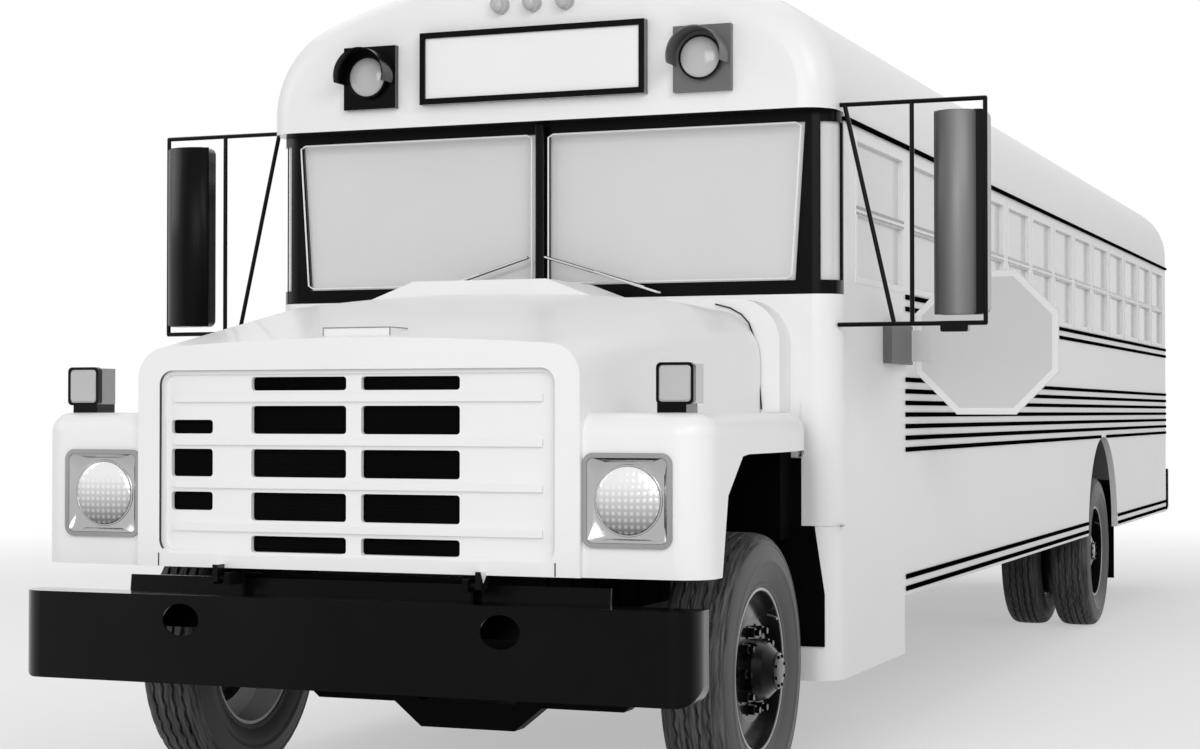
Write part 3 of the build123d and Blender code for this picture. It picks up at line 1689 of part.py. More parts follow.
def front_wheel(side):
    """Disc wheel with its hub, open on the inner side round the knuckle."""
    b = bead_width / 2
    face = front_tyre_centre + b
    barrel = rim_radius - rim_plate
    bore = spindle_radius + bore_clearance
    disc = front_tyre_centre + b / 3
    points = [
        (front_tyre_centre - b, rim_radius), (face, rim_radius), (face, barrel),
        (disc + rim_plate, barrel - rim_plate), (disc + rim_plate * 3, drum_radius - rim_plate * 2),
        (disc + rim_plate * 3, pilot_radius), (disc + rim_plate * 3 + pilot_length, pilot_radius),
        (face + hub_reach / 2, pilot_radius - rim_plate),
        (face + hub_reach, pilot_radius - rim_plate * 4), (face + hub_reach, 0),
        (face + hub_reach - rim_plate, 0), (face + hub_reach - rim_plate, bore),
        (disc - drum_length / 2, bore), (disc - drum_length / 2, hub_radius - rim_plate),
        (disc + rim_plate * 2, hub_radius - rim_plate), (disc + rim_plate * 2, drum_radius - rim_plate * 3),
        (disc, barrel - rim_plate * 2), (disc - rim_plate, barrel), (front_tyre_centre - b, barrel),
    ]
    wheel = turned(points, side, front_axle_y)
    return join([wheel, *studs(disc + rim_plate * 3, side, front_axle_y)])


def rear_wheels(side):
    """Twin disc wheels bolted together on one hub."""
    b = bead_width / 2
    outer = rear_tyre_centre
    inboard = twin_inner_centre
    barrel = rim_radius - rim_plate
    bore = spindle_radius + bore_clearance
    middle = (outer + inboard) / 2
    tip = outer + hub_reach
    points = [
        (outer + b, rim_radius), (outer + b, barrel), (middle + rim_plate * 2, barrel - rim_plate),
        (middle + rim_plate, drum_radius), (middle + rim_plate, pilot_radius),
        (middle + rim_plate + pilot_length, pilot_radius), (tip, pilot_radius - rim_plate),
        (tip + rim_plate, pilot_radius - rim_plate * 4), (tip + rim_plate, 0), (tip + hairline, 0),
        (tip + hairline, bore), (inboard, bore), (inboard, hub_radius),
        (middle - rim_plate, hub_radius), (middle - rim_plate, drum_radius),
        (middle - rim_plate * 2, barrel - rim_plate), (inboard - b, barrel), (inboard - b, rim_radius),
        (inboard + b, rim_radius), (inboard + b, barrel + rim_plate / 2), (outer - b, barrel + rim_plate / 2),
        (outer - b, rim_radius),
    ]
    wheels = turned(points, side, rear_axle_y)
    return join([wheels, *studs(middle + rim_plate, side, rear_axle_y)])


def knuckle_set():
    """Left knuckle: fork round the beam's boss, kingpin, spindle and steering arm."""
    low = axle_z - kingpin_boss_height / 2 - hairline
    high = axle_z + kingpin_boss_height / 2 + hairline
    x = kingpin_reach
    y = front_axle_y
    web_x = x + kingpin_boss + open_gap
    parts = []
    for z0, z1 in ((low - fork_plate, low), (high, high + fork_plate)):
        parts.append(rod((x, y, z0), (x, y, z1), kingpin_boss))
        parts.append(block(x, web_x + fork_plate, y - kingpin_boss, y + kingpin_boss, z0, z1))
    parts.append(block(
        web_x, web_x + fork_plate, y - kingpin_boss, y + kingpin_boss, low - fork_plate, high + fork_plate))
    parts.append(rod((x, y, low), (x, y, high), kingpin_radius))
    tip = front_tyre_centre + bead_width / 2 + hub_reach - rim_plate - hairline
    parts.append(rod((web_x, y, axle_z), (tip, y, axle_z), spindle_radius))
    arm_low = low - fork_plate
    arm_y = y + steer_arm_reach
    arm_high = arm_low + steer_arm_plate
    pin_low = arm_low - tie_rod_eye_height - tie_rod_pin
    arm = rectangle(x - steer_arm_width / 2, x + steer_arm_width / 2, y, arm_y)
    parts.append(along_z(arm, arm_low, arm_high))
    parts.append(rod((x, arm_y, arm_low), (x, arm_y, arm_high), steer_arm_width / 2))
    parts.append(rod((x, arm_y, pin_low), (x, arm_y, arm_low), tie_rod_pin))
    return join(parts)


def left_knuckle():
    return knuckle_set()


def right_knuckle():
    return mirror(knuckle_set(), about=Plane.YZ)


def tie_rod():
    """Track rod between the two steering arms, an eye at each end."""
    x = kingpin_reach
    y = front_axle_y + steer_arm_reach
    arm_low = axle_z - kingpin_boss_height / 2 - hairline - fork_plate
    top = arm_low - hairline
    base = top - tie_rod_eye_height
    level = (top + base) / 2
    reach = x - steer_arm_width / 2 + tie_rod_radius / 2
    parts = [rod((-reach, y, level), (reach, y, level), tie_rod_radius)]
    holes = []
    for side in (1, -1):
        parts.append(rod((side * x, y, base), (side * x, y, top), steer_arm_width / 2))
        holes.append(rod(
            (side * x, y, base - cut_overrun),
            (side * x, y, top + cut_overrun), tie_rod_pin + bore_clearance))
    return join(parts) - holes


nodes = {
    "frame_rails": frame_rails,
    "cross_members": cross_members,
    "hood_hinges": hood_hinges,
    "engine_block": engine,
    "radiator": radiator,
    "front_axle_beam": front_axle_beam,
    "leaf_springs": leaf_springs,
    "rear_axle": rear_axle,
    "fuel_tank": fuel_tank,
    "front_bumper": front_bumper,
    "rear_bumper": rear_bumper,
    "floor": floor,
    "left_side_wall": lambda: side_wall(False),
    "right_side_wall": right_side_wall,
    "entrance_panel": entrance_panel,
    "front_wall": front_wall,
    "windshield_frame": windshield_frame,
    "roof": roof,
    "front_cap": front_cap,
    "rear_wall": rear_wall,
    "window_sashes": window_sashes,
    "body_glass": body_glass,
    "rub_rails": rub_rails,
    "splash_guards": splash_guards,
    "bench_seats": bench_seats,
    "driver_seat": driver_seat,
    "dashboard": dashboard,
    "sign_box": sign_box,
    "warning_lamps": warning_lamps,
    "rear_lamps": rear_lamps,
    "mirrors": mirrors,
    "stop_bracket": stop_bracket,
    "stop_sign": stop_sign,
    "hood": hood,
    "grille": grille,
    "headlamps": head_lamps,
    "turn_signals": turn_signals,
    "entrance_leaf_front": lambda: entrance_leaf_frame(door_front, 1),
    "entrance_leaf_rear": lambda: entrance_leaf_frame(door_rear, -1),
    "entrance_glass_front": lambda: entrance_leaf_glass(door_front, 1),
    "entrance_glass_rear": lambda: entrance_leaf_glass(door_rear, -1),
    "rear_door": rear_door,
    "rear_door_glass": rear_door_glass,
    "left_knuckle": left_knuckle,
    "right_knuckle": right_knuckle,
    "tie_rod": tie_rod,
    "front_tyre_left": lambda: front_tyre(1),
    "front_tyre_right": lambda: front_tyre(-1),
    "front_wheel_left": lambda: front_wheel(1),
    "front_wheel_right": lambda: front_wheel(-1),
    "rear_tyres_left": lambda: rear_tyres(1),
    "rear_tyres_right": lambda: rear_tyres(-1),
    "rear_wheels_left": lambda: rear_wheels(1),
    "rear_wheels_right": lambda: rear_wheels(-1),
}

os.makedirs("parts", exist_ok=True)
for name, build in nodes.items():
    export_step(build(), f"parts/{name}.step")
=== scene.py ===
"""School bus with the engine in front, dressed round its frame. Metres; +X driver's side, -Y front."""

import math

import bmesh
import bpy
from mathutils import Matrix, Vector


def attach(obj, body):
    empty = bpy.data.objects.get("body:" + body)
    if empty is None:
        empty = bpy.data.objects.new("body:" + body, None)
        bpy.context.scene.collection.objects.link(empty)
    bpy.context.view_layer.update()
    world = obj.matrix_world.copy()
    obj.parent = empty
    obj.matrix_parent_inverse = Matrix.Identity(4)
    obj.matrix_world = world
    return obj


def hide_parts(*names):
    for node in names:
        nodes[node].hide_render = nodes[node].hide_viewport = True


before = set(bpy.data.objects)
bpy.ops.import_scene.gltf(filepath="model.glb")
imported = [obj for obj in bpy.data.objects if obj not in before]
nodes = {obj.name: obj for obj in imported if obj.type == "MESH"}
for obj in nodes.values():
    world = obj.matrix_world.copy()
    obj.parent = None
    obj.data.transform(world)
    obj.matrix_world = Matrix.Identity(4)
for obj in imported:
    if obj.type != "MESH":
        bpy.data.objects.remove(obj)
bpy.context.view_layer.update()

# Places that several pieces share
SIDES = (("left", 1), ("right", -1))
BODY_Y = -4.195
BODY_HALF_WIDTH = 1.2192
REAR_FACE_Y = 5.835
WINDOW_PITCH = 0.7112
FLOOR_TOP = 0.960
AXLE_Z = 0.487
FRONT_AXLE_Y = -4.875
REAR_AXLE_Y = 2.455
FENDER_Y = -5.833
FENDER_TOP = 1.400
HEAD_LAMP_X = 0.978
HEAD_LAMP_Z = 1.120
MIRROR_X = 1.790
MIRROR_Y = -4.145
MIRROR_WIDTH = 0.205
# Strip at the driver's mirror's outer end left black as painted shade on the rounded shell
MIRROR_SHADED_END = 0.045


# Materials
NOISE_LOW = 0.3
NOISE_HIGH = 0.7
COAT_ROUGHNESS = 0.06
GRAIN_HEIGHT = 0.0006
RIM_START = 0.12
RIM_END = 0.6
RIM_ROUGHNESS = 0.2
HAZE_CHANGE = 0.015
GLASS_CHANGE = 0.02
FLUTE_SCALE = 15.0
FLUTE_HEIGHT = 0.002
FLUTE_SHARE = 0.35
# Heights over which the headlamp lenses go from painted shade below to painted light above
LENS_DARK_BELOW = 0.1
LENS_PALE_ABOVE = 0.06


def grey(level):
    return (level, level, level, 1.0)


def new_material(name):
    material = bpy.data.materials.new(name)
    material.use_nodes = True
    tree = material.node_tree
    tree.nodes.clear()
    output = tree.nodes.new("ShaderNodeOutputMaterial")
    shader = tree.nodes.new("ShaderNodeBsdfPrincipled")
    tree.links.new(shader.outputs[0], output.inputs[0])
    return material, tree, shader


def feed(tree, socket, value):
    """Links a socket to another one, or gives it a plain value."""
    if isinstance(value, bpy.types.NodeSocket):
        tree.links.new(value, socket)
    else:
        socket.default_value = value


def dress(tree, node, values):
    """Gives a node's inputs their values by name."""
    for name, value in values.items():
        feed(tree, node.inputs[name], value)


def worked_out(tree, operation, *values):
    """Result of a sum on sockets and numbers."""
    node = tree.nodes.new("ShaderNodeMath")
    node.operation = operation
    for socket, value in zip(node.inputs, values):
        feed(tree, socket, value)
    return node.outputs[0]


def mapped(tree, value, low, high, to_low=0.0, to_high=1.0, kind="LINEAR"):
    """The value mapped from one range onto another."""
    node = tree.nodes.new("ShaderNodeMapRange")
    node.interpolation_type = kind
    dress(tree, node, {
        "Value": value, "From Min": low, "From Max": high, "To Min": to_low, "To Max": to_high})
    return node.outputs["Result"]


def coordinates(tree):
    return tree.nodes.new("ShaderNodeTexCoord").outputs["Object"]


def along_axis(tree, axis):
    node = tree.nodes.new("ShaderNodeSeparateXYZ")
    feed(tree, node.inputs["Vector"], coordinates(tree))
    return node.outputs[axis]


def noise(tree, scale, detail=3.0, stretch=None):
    """Noise value in object space, its space stretched where asked."""
    source = coordinates(tree)
    if stretch:
        mapping = tree.nodes.new("ShaderNodeMapping")
        dress(tree, mapping, {"Scale": stretch, "Vector": source})
        source = mapping.outputs["Vector"]
    node = tree.nodes.new("ShaderNodeTexNoise")
    dress(tree, node, {"Scale": scale, "Detail": detail, "Vector": source})
    return node.outputs["Fac"]


def spread(tree, value, low=0.0, high=1.0):
    """A noise value stretched over a range."""
    return mapped(tree, value, NOISE_LOW, NOISE_HIGH, low, high)


def tint(tree, value, dark, light):
    """Grey between two tones by a value."""
    node = tree.nodes.new("ShaderNodeMix")
    node.data_type = "RGBA"
    dress(tree, node, {"A": grey(dark), "B": grey(light), "Factor": value})
    return node.outputs["Result"]


def bump(tree, height, strength, distance):
    node = tree.nodes.new("ShaderNodeBump")
    dress(tree, node, {"Strength": strength, "Distance": distance, "Height": height})
    return node.outputs["Normal"]


def painted(
        name, dark, light, rough_low, rough_high, coat, grain, metallic=0.0, gloss=0.5, relief=0.12,
        streaks=None):
    """Paint, rubber or metal with a slight change of tone and gloss, in streaks where asked."""
    material, tree, shader = new_material(name)
    broad = noise(tree, 1.7, 4.0)
    tone = noise(tree, 1.0, 4.0, streaks) if streaks else broad
    dress(tree, shader, {
        "Base Color": tint(tree, spread(tree, tone), dark, light),
        "Roughness": spread(tree, broad, rough_low, rough_high),
        "Metallic": metallic, "Coat Weight": coat, "Coat Roughness": COAT_ROUGHNESS,
        "Specular IOR Level": gloss,
        "Normal": bump(tree, noise(tree, grain, 2.0), relief, GRAIN_HEIGHT)})
    return material


def rim_gloss(material):
    """Adds a coat that shows where a surface turns away, as on rounded bumper ends."""
    tree = material.node_tree
    shader = next(node for node in tree.nodes if node.type == "BSDF_PRINCIPLED")
    facing = tree.nodes.new("ShaderNodeLayerWeight").outputs["Facing"]
    dress(tree, shader, {
        "Coat Weight": mapped(tree, facing, RIM_START, RIM_END), "Coat Roughness": RIM_ROUGHNESS})


def glass_material(name, tone, alpha):
    """Safety glass seen through faintly, its pale grey tone a painted reflection."""
    material, tree, shader = new_material(name)
    haze = spread(tree, noise(tree, 0.8, 2.0), -HAZE_CHANGE, HAZE_CHANGE)
    broad = spread(tree, noise(tree, 1.1, 2.0))
    dress(tree, shader, {
        "Alpha": worked_out(tree, "ADD", haze, alpha),
        "Base Color": tint(tree, broad, tone - GLASS_CHANGE, tone + GLASS_CHANGE),
        "Roughness": 0.06, "Coat Weight": 0.3})
    return material


def lens_material(name):
    """Lens with a fine grid of flutes, with painted shading: pale above and darker below."""
    material, tree, shader = new_material(name)
    waves = []
    for axis in ("X", "Z"):
        wave = tree.nodes.new("ShaderNodeTexWave")
        wave.wave_type = "BANDS"
        wave.bands_direction = axis
        dress(tree, wave, {"Scale": FLUTE_SCALE, "Vector": coordinates(tree)})
        waves.append(wave.outputs["Fac"])
    flutes = worked_out(tree, "MULTIPLY", *waves)
    # Painted shading: darker towards the bottom of the lens, paler towards the top
    shade = mapped(
        tree, along_axis(tree, "Z"), HEAD_LAMP_Z - LENS_DARK_BELOW, HEAD_LAMP_Z + LENS_PALE_ABOVE)
    dress(tree, shader, {
        "Base Color": tint(tree, worked_out(tree, "MULTIPLY_ADD", flutes, FLUTE_SHARE, shade), 0.12, 0.85),
        "Roughness": 0.12, "Metallic": 0.35, "Coat Weight": 0.8,
        "Normal": bump(tree, flutes, 0.35, FLUTE_HEIGHT)})
    return material


def painted_shading_grey(name, tones, low, high):
    """Satin grey that changes across the width between two places on X: painted shading of a rounded shell.
    """
    material, tree, shader = new_material(name)
    ramp = tree.nodes.new("ShaderNodeValToRGB")
    points = ramp.color_ramp.elements
    while len(points) < len(tones):
        points.new(0.5)
    for point, (place, level) in zip(points, tones):
        point.position = place
        point.color = grey(level)
    feed(tree, ramp.inputs["Fac"], mapped(tree, along_axis(tree, "X"), low, high))
    dress(tree, shader, {
        "Base Color": ramp.outputs["Color"], "Roughness": spread(tree, noise(tree, 6.0), 0.3, 0.4)})
    return material


# Name, darkest and lightest tone, lowest and highest roughness, coat, grain's scale, share of metal
white = painted("white_paint", 0.85, 0.88, 0.34, 0.42, 0.12, 160, relief=0.02)
# Painted light: white for the inner barrel and disc back of the black front wheels, as though lit where they
# lie in shade
barrel_painted_light_white = painted("barrel_painted_light", 0.8, 0.86, 0.5, 0.6, 0.0, 120)
black = painted("black_paint", 0.001, 0.003, 0.24, 0.34, 0.0, 220, gloss=0.08)
stripe_black = painted("stripe_black", 0.001, 0.003, 0.6, 0.7, 0.0, 220, gloss=0.0)
grey_paint = painted("grey_paint", 0.22, 0.27, 0.32, 0.42, 0.2, 200)
dark_grey = painted("dark_grey_paint", 0.09, 0.12, 0.35, 0.45, 0.1, 220)
sign_grey = painted("sign_grey", 0.66, 0.7, 0.35, 0.45, 0.0, 240, gloss=0.3)
chassis = painted("chassis_paint", 0.001, 0.005, 0.45, 0.65, 0.0, 90, gloss=0.05)
cast = painted("cast_metal", 0.03, 0.06, 0.5, 0.7, 0.0, 140, 0.4, gloss=0.3)
aluminium = painted("aluminium", 0.74, 0.8, 0.3, 0.42, 0.0, 260, 0.25)
steel = painted("steel", 0.42, 0.52, 0.3, 0.5, 0.0, 240, 0.9)
rubber = painted("rubber", 0.001, 0.004, 0.6, 0.8, 0.0, 300, gloss=0.02)
tyre_rubber = painted("tyre_rubber", 0.006, 0.13, 0.5, 0.7, 0.0, 380, gloss=0.25, streaks=(150, 7, 7))
# Painted sheen: tyre sidewalls a paler grey than the tread
sidewall_sheen_rubber = painted("sidewall_sheen_rubber", 0.045, 0.085, 0.4, 0.55, 0.0, 260, gloss=0.4)
vinyl = painted("seat_vinyl", 0.16, 0.2, 0.45, 0.6, 0.0, 420)
plastic = painted("cabin_plastic", 0.1, 0.14, 0.5, 0.65, 0.0, 300)
floor_cover = painted("floor_cover", 0.07, 0.11, 0.6, 0.8, 0.0, 120)
chrome = painted("chrome", 0.42, 0.5, 0.1, 0.2, 0.0, 120, 1.0)
bezel = painted("lamp_bezel", 0.28, 0.36, 0.25, 0.35, 0.1, 120, 0.6)
lamp_lens = painted("lamp_lens", 0.44, 0.52, 0.12, 0.2, 0.4, 90)
rim_gloss(black)
# Painted shading on the driver's mirror cover: dark at both ends and palest right of the middle
mirror_painted_shading = painted_shading_grey(
    "mirror_painted_shading", ((0.0, 0.02), (0.3, 0.09), (0.62, 0.24), (1.0, 0.1)),
    MIRROR_X - MIRROR_WIDTH, MIRROR_X - MIRROR_SHADED_END)
fluted_lens = lens_material("fluted_lens")
# The pale grey tones of the glass are painted reflection
screen_glass = glass_material("screen_glass", 0.76, 0.9)
side_glass = glass_material("side_glass", 0.5, 0.8)

# Edges of the faces that show a second colour
HOOD_EDGE_Z = 0.868
FLOOR_SKIN = 0.01
CAP_EDGE_Z = 2.6
SIGN_HALF_WIDTH = 0.485
SIGN_BORDER = 0.025
SIGN_FACE_LOW = 2.671
SIGN_FACE_HIGH = 2.912
LENS_EDGE_RADIUS = 0.1105
SIGNAL_FOOT = 0.031
MARKER_LOW_Z = 2.97
MARKER_HALF_WIDTH = 0.3
WARNING_TOP_Z = 3.0
BARREL_X = 1.0645
BARREL_RADIUS = 0.2
BARREL_FACING = 0.3


# Colours of the frame's nodes, face by face where one shows two
def paint(names, base, *others):
    """Gives nodes their material, and other materials to the faces that pass a test."""
    for name in names:
        mesh = nodes[name].data
        mesh.materials.clear()
        for material in (base, *(other for other, test in others)):
            mesh.materials.append(material)
        for face in mesh.polygons:
            face.material_index = 0
            for index, (other, test) in enumerate(others, 1):
                if test(face.center, face.normal):
                    face.material_index = index


def faces_inward(centre, normal):
    """True on the inner side of a shell that is open below and behind."""
    sizes = [abs(value) for value in normal]
    if sizes[0] == max(sizes):
        return normal.x * centre.x < 0
    if sizes[2] == max(sizes):
        return normal.z < 0
    return normal.y > 0


def below_hood_edge(centre, normal):
    return centre.z < HOOD_EDGE_Z


def under_floor_side(centre, normal):
    return centre.z < FLOOR_TOP and normal.x * centre.x < 0 and abs(normal.x) > 0.5


def floor_underside(centre, normal):
    return centre.z < FLOOR_TOP - FLOOR_SKIN


# Painted shadow: the cap's underside over the windshield, black as if in shade
def shaded_cap_underside(centre, normal):
    return normal.z < -0.5 and centre.z < CAP_EDGE_Z


def sign_edge(centre, normal):
    inside = SIGN_FACE_LOW < centre.z < SIGN_FACE_HIGH
    return abs(centre.x) > SIGN_HALF_WIDTH - SIGN_BORDER or not inside


def head_lamp_lens(centre, normal):
    return math.hypot(abs(centre.x) - HEAD_LAMP_X, centre.z - HEAD_LAMP_Z) < LENS_EDGE_RADIUS


def signal_foot(centre, normal):
    return centre.z < FENDER_TOP + SIGNAL_FOOT


def painted_light_warning_lamp(centre, normal):
    """The front lamp on the driver's side, dark grey beside the black one on the passenger's side: painted
    light.
    """
    return centre.z < WARNING_TOP_Z and centre.x > 0 and centre.y < 0


def marker_lamp(centre, normal):
    return centre.z > MARKER_LOW_Z and abs(centre.x) < MARKER_HALF_WIDTH


# Faces of the inner barrel and disc back, which take the painted light white
def inner_barrel(centre, normal):
    reach = math.hypot(centre.y - FRONT_AXLE_Y, centre.z - AXLE_Z)
    return abs(centre.x) < BARREL_X and reach > BARREL_RADIUS and normal.x * centre.x < BARREL_FACING


paint((
    "frame_rails", "cross_members", "hood_hinges", "front_axle_beam", "leaf_springs", "rear_axle",
    "left_knuckle", "right_knuckle"), chassis)
paint((
    "front_bumper", "rear_bumper", "windshield_frame", "mirrors", "entrance_leaf_front",
    "entrance_leaf_rear", "rear_wheels_left", "rear_wheels_right"), black)
paint((
    "entrance_panel", "front_wall", "roof", "rear_wall", "window_sashes", "grille", "rear_door"), white)
paint(("front_tyre_left", "front_tyre_right", "rear_tyres_left", "rear_tyres_right"), tyre_rubber)
paint(("entrance_glass_front", "entrance_glass_rear", "rear_door_glass"), side_glass)
paint(("body_glass",), screen_glass)
paint(("bench_seats", "driver_seat"), vinyl)
paint(("fuel_tank", "tie_rod"), steel)
paint(("engine_block",), cast)
paint(("radiator",), aluminium)
paint(("rub_rails",), stripe_black)
paint(("splash_guards",), rubber)
paint(("dashboard",), plastic)
paint(("rear_lamps",), lamp_lens)
paint(("stop_bracket",), dark_grey)
paint(("stop_sign",), sign_grey)
paint(("hood",), white, (black, faces_inward), (black, below_hood_edge))
paint(("left_side_wall", "right_side_wall"), white, (chassis, under_floor_side))
paint(("floor",), floor_cover, (chassis, floor_underside))
# the cap's underside black: painted shadow
paint(("front_cap",), white, (black, shaded_cap_underside))
paint(("sign_box",), white, (black, sign_edge))
paint(("headlamps",), bezel, (lamp_lens, head_lamp_lens))
paint(("turn_signals",), chrome, (black, signal_foot))
# the driver's front plate dark grey beside the black passenger's one: painted light
paint(("warning_lamps",), black, (dark_grey, painted_light_warning_lamp), (chrome, marker_lamp))
# inner barrels and disc backs white: painted light
paint(("front_wheel_left", "front_wheel_right"), black, (barrel_painted_light_white, inner_barrel))


# Mesh building
def spot(axis, a, b, depth):
    """Point from two outline coordinates and a depth along an axis."""
    if axis == "x":
        return Vector((depth, a, b))
    if axis == "y":
        return Vector((a, depth, b))
    return Vector((a, b, depth))


def layer(axis, outline, depth):
    """An outline's points at one depth."""
    return [spot(axis, a, b, depth) for a, b in outline]


def add_rows(form, rows, closed=False):
    """Faces between rows of points, each row a loop, with both ends covered unless closed."""
    loops = [[form.verts.new(point) for point in row] for row in rows]
    pairs = list(zip(loops, loops[1:]))
    if closed:
        pairs.append((loops[-1], loops[0]))
    for one, two in pairs:
        for here in range(len(one)):
            there = (here + 1) % len(one)
            form.faces.new((one[here], one[there], two[there], two[here]))
    if not closed:
        form.faces.new(loops[0])
        form.faces.new(loops[-1])


def rounded(width, height, radius, centre=(0, 0), steps=4):
    """Outline of a rounded rectangle."""
    points = []
    for quarter, (across, up) in enumerate(((1, 1), (-1, 1), (-1, -1), (1, -1))):
        for step in range(steps + 1):
            angle = math.pi / 2 * (quarter + step / steps)
            a = centre[0] + across * (width / 2 - radius) + radius * math.cos(angle)
            b = centre[1] + up * (height / 2 - radius) + radius * math.sin(angle)
            points.append((a, b))
    return points


def circle(radius, count, centre, turn=0.0):
    """Points round a centre, the first one turned by a share of a step."""
    angles = [math.tau * (k + turn) / count for k in range(count)]
    return [(centre[0] + radius * math.cos(angle), centre[1] + radius * math.sin(angle)) for angle in angles]


def add_prism(form, outline, axis, start, end, edge=0.0):
    """Solid of an outline between two depths, its far edge drawn in where asked."""
    rows = [layer(axis, outline, start)]
    if edge:
        middle_a = sum(a for a, b in outline) / len(outline)
        middle_b = sum(b for a, b in outline) / len(outline)
        reach = max(math.hypot(a - middle_a, b - middle_b) for a, b in outline)
        keep = 1 - edge / reach
        drawn_in = [(middle_a + (a - middle_a) * keep, middle_b + (b - middle_b) * keep) for a, b in outline]
        rows.append(layer(axis, outline, end - math.copysign(edge, end - start)))
        rows.append(layer(axis, drawn_in, end))
    else:
        rows.append(layer(axis, outline, end))
    add_rows(form, rows)


def add_box(form, x0, x1, y0, y1, z0, z1):
    corners = ((x0, y0), (x1, y0), (x1, y1), (x0, y1))
    add_rows(form, [layer("z", corners, z) for z in (z0, z1)])


def add_side_box(form, side, inner_x, outer_x, y0, y1, z0, z1):
    """Box on one side of the bus."""
    x0, x1 = sorted((side * inner_x, side * outer_x))
    add_box(form, x0, x1, y0, y1, z0, z1)


def add_frame(form, outer, inner, axis, start, end):
    """Ring between two outlines with as many points each."""
    turns = ((outer, start), (outer, end), (inner, end), (inner, start))
    add_rows(form, [layer(axis, outline, depth) for outline, depth in turns], closed=True)


def add_turned(form, profile, axis, centre, count=48, closed=False):
    """Surface of revolution of (depth, radius) points round an axis through a centre."""
    rows = [layer(axis, circle(max(radius, 0.0004), count, centre), depth) for depth, radius in profile]
    add_rows(form, rows, closed=closed)


def add_tube(form, points, radius, sides=8, closed=False):
    points = [Vector(point) for point in points]
    count = len(points)
    normal = None
    rows = []
    for k, point in enumerate(points):
        before = points[k - 1] if k or closed else point
        after = points[(k + 1) % count] if k < count - 1 or closed else point
        along = (after - before).normalized()
        if normal is None:
            normal = along.orthogonal().normalized()
        normal = (normal - along * normal.dot(along)).normalized()
        across = along.cross(normal)
        row = []
        for step in range(sides):
            angle = math.tau * step / sides
            row.append(point + (normal * math.cos(angle) + across * math.sin(angle)) * radius)
        rows.append(row)
    add_rows(form, rows, closed=closed)


def piece(name, form, material, body, sharp=40, bevel=0.0):
    """Makes a form into a named piece that rides on a body."""
    bmesh.ops.recalc_face_normals(form, faces=form.faces)
    mesh = bpy.data.meshes.new(name)
    form.to_mesh(mesh)
    form.free()
    mesh.materials.append(material)
    mesh.shade_smooth()
    mesh.set_sharp_from_angle(angle=math.radians(sharp))
    made = bpy.data.objects.new(name, mesh)
    bpy.context.scene.collection.objects.link(made)
    if bevel:
        modifier = made.modifiers.new("edge", "BEVEL")
        modifier.width = bevel
        modifier.segments = 2
        modifier.limit_method = "ANGLE"
    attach(made, body)
    return made


# Tyres and wheels
AXLES = (
    # body, tyre node, axle's y, tyres' x, nut seat's x, hub end's x, rim edge's x
    ("front_", "front_tyre_", FRONT_AXLE_Y, (1.022,), 1.0897, 1.187, 1.117),
    ("rear_", "rear_tyres_", REAR_AXLE_Y, (1.065, 0.747), 0.918, 1.147, 1.160),
)
TYRE_COLUMNS = (
    # half width, radius, zigzag share, notch depth
    (0.0950, 0.2920, 0, 0), (0.1000, 0.2935, 0, 0), (0.1022, 0.3000, 0, 0), (0.1036, 0.3070, 0, 0),
    (0.1012, 0.3092, 0, 0), (0.1080, 0.3220, 0, 0), (0.1165, 0.3440, 0, 0), (0.1225, 0.3650, 0, 0),
    (0.1252, 0.3790, 0, 0), (0.1275, 0.3820, 0, 0), (0.1275, 0.3930, 0, 0), (0.1255, 0.3960, 0, 0),
    (0.1242, 0.4130, 0, 0), (0.1208, 0.4310, 0, 0), (0.1172, 0.4430, 0, 0), (0.1190, 0.4455, 0, 0),
    (0.1160, 0.4540, 0, 0), (0.1110, 0.4620, 0, 0.002), (0.1035, 0.4710, 0, 0.005),
    (0.0960, 0.4775, 0, 0.006), (0.0870, 0.4812, 0, 0.005),
    (0.0665, 0.4850, 1, 0), (0.0640, 0.4735, 1, 0), (0.0570, 0.4735, 1, 0),
    (0.0545, 0.4860, 1, 0), (0.0410, 0.4866, 0.5, 0.003), (0.0275, 0.4868, 1, 0), (0.0250, 0.4740, 1, 0),
    (0.0180, 0.4740, 1, 0), (0.0155, 0.4870, 1, 0), (0, 0.4870, 0.5, 0.003),
)
ZIGZAG = (-1, 0, 1, 0)
TREAD_STEPS = 168
TREAD_WAVE = 0.0042
SIDEWALL_RADIUS = 0.456
STUD_CIRCLE = 0.142875
STUD_COUNT = 10
WASHER_RADIUS = 0.0235
WASHER_THICKNESS = 0.005
NUT_RADIUS = 0.0195
NUT_HEIGHT = 0.028
HUB_PROFILE = ((-0.004, 0.066), (0.004, 0.064), (0.009, 0.052), (0.011, 0.03), (0.0115, 0))
HUB_BOLT_CIRCLE = 0.054
HUB_BOLT_COUNT = 8
HUB_BOLT_RADIUS = 0.0065
HUB_BOLT_HEIGHT = 0.014
LIP_PROFILE = ((-0.012, 0.2915), (0.003, 0.2915), (0.005, 0.287), (0.003, 0.2825), (-0.012, 0.2825))
VALVE_ROUTE = ((-0.03, 0.2, 0.178), (-0.01, 0.196, 0.174), (0.01, 0.188, 0.166))
VALVE_RADIUS = 0.005


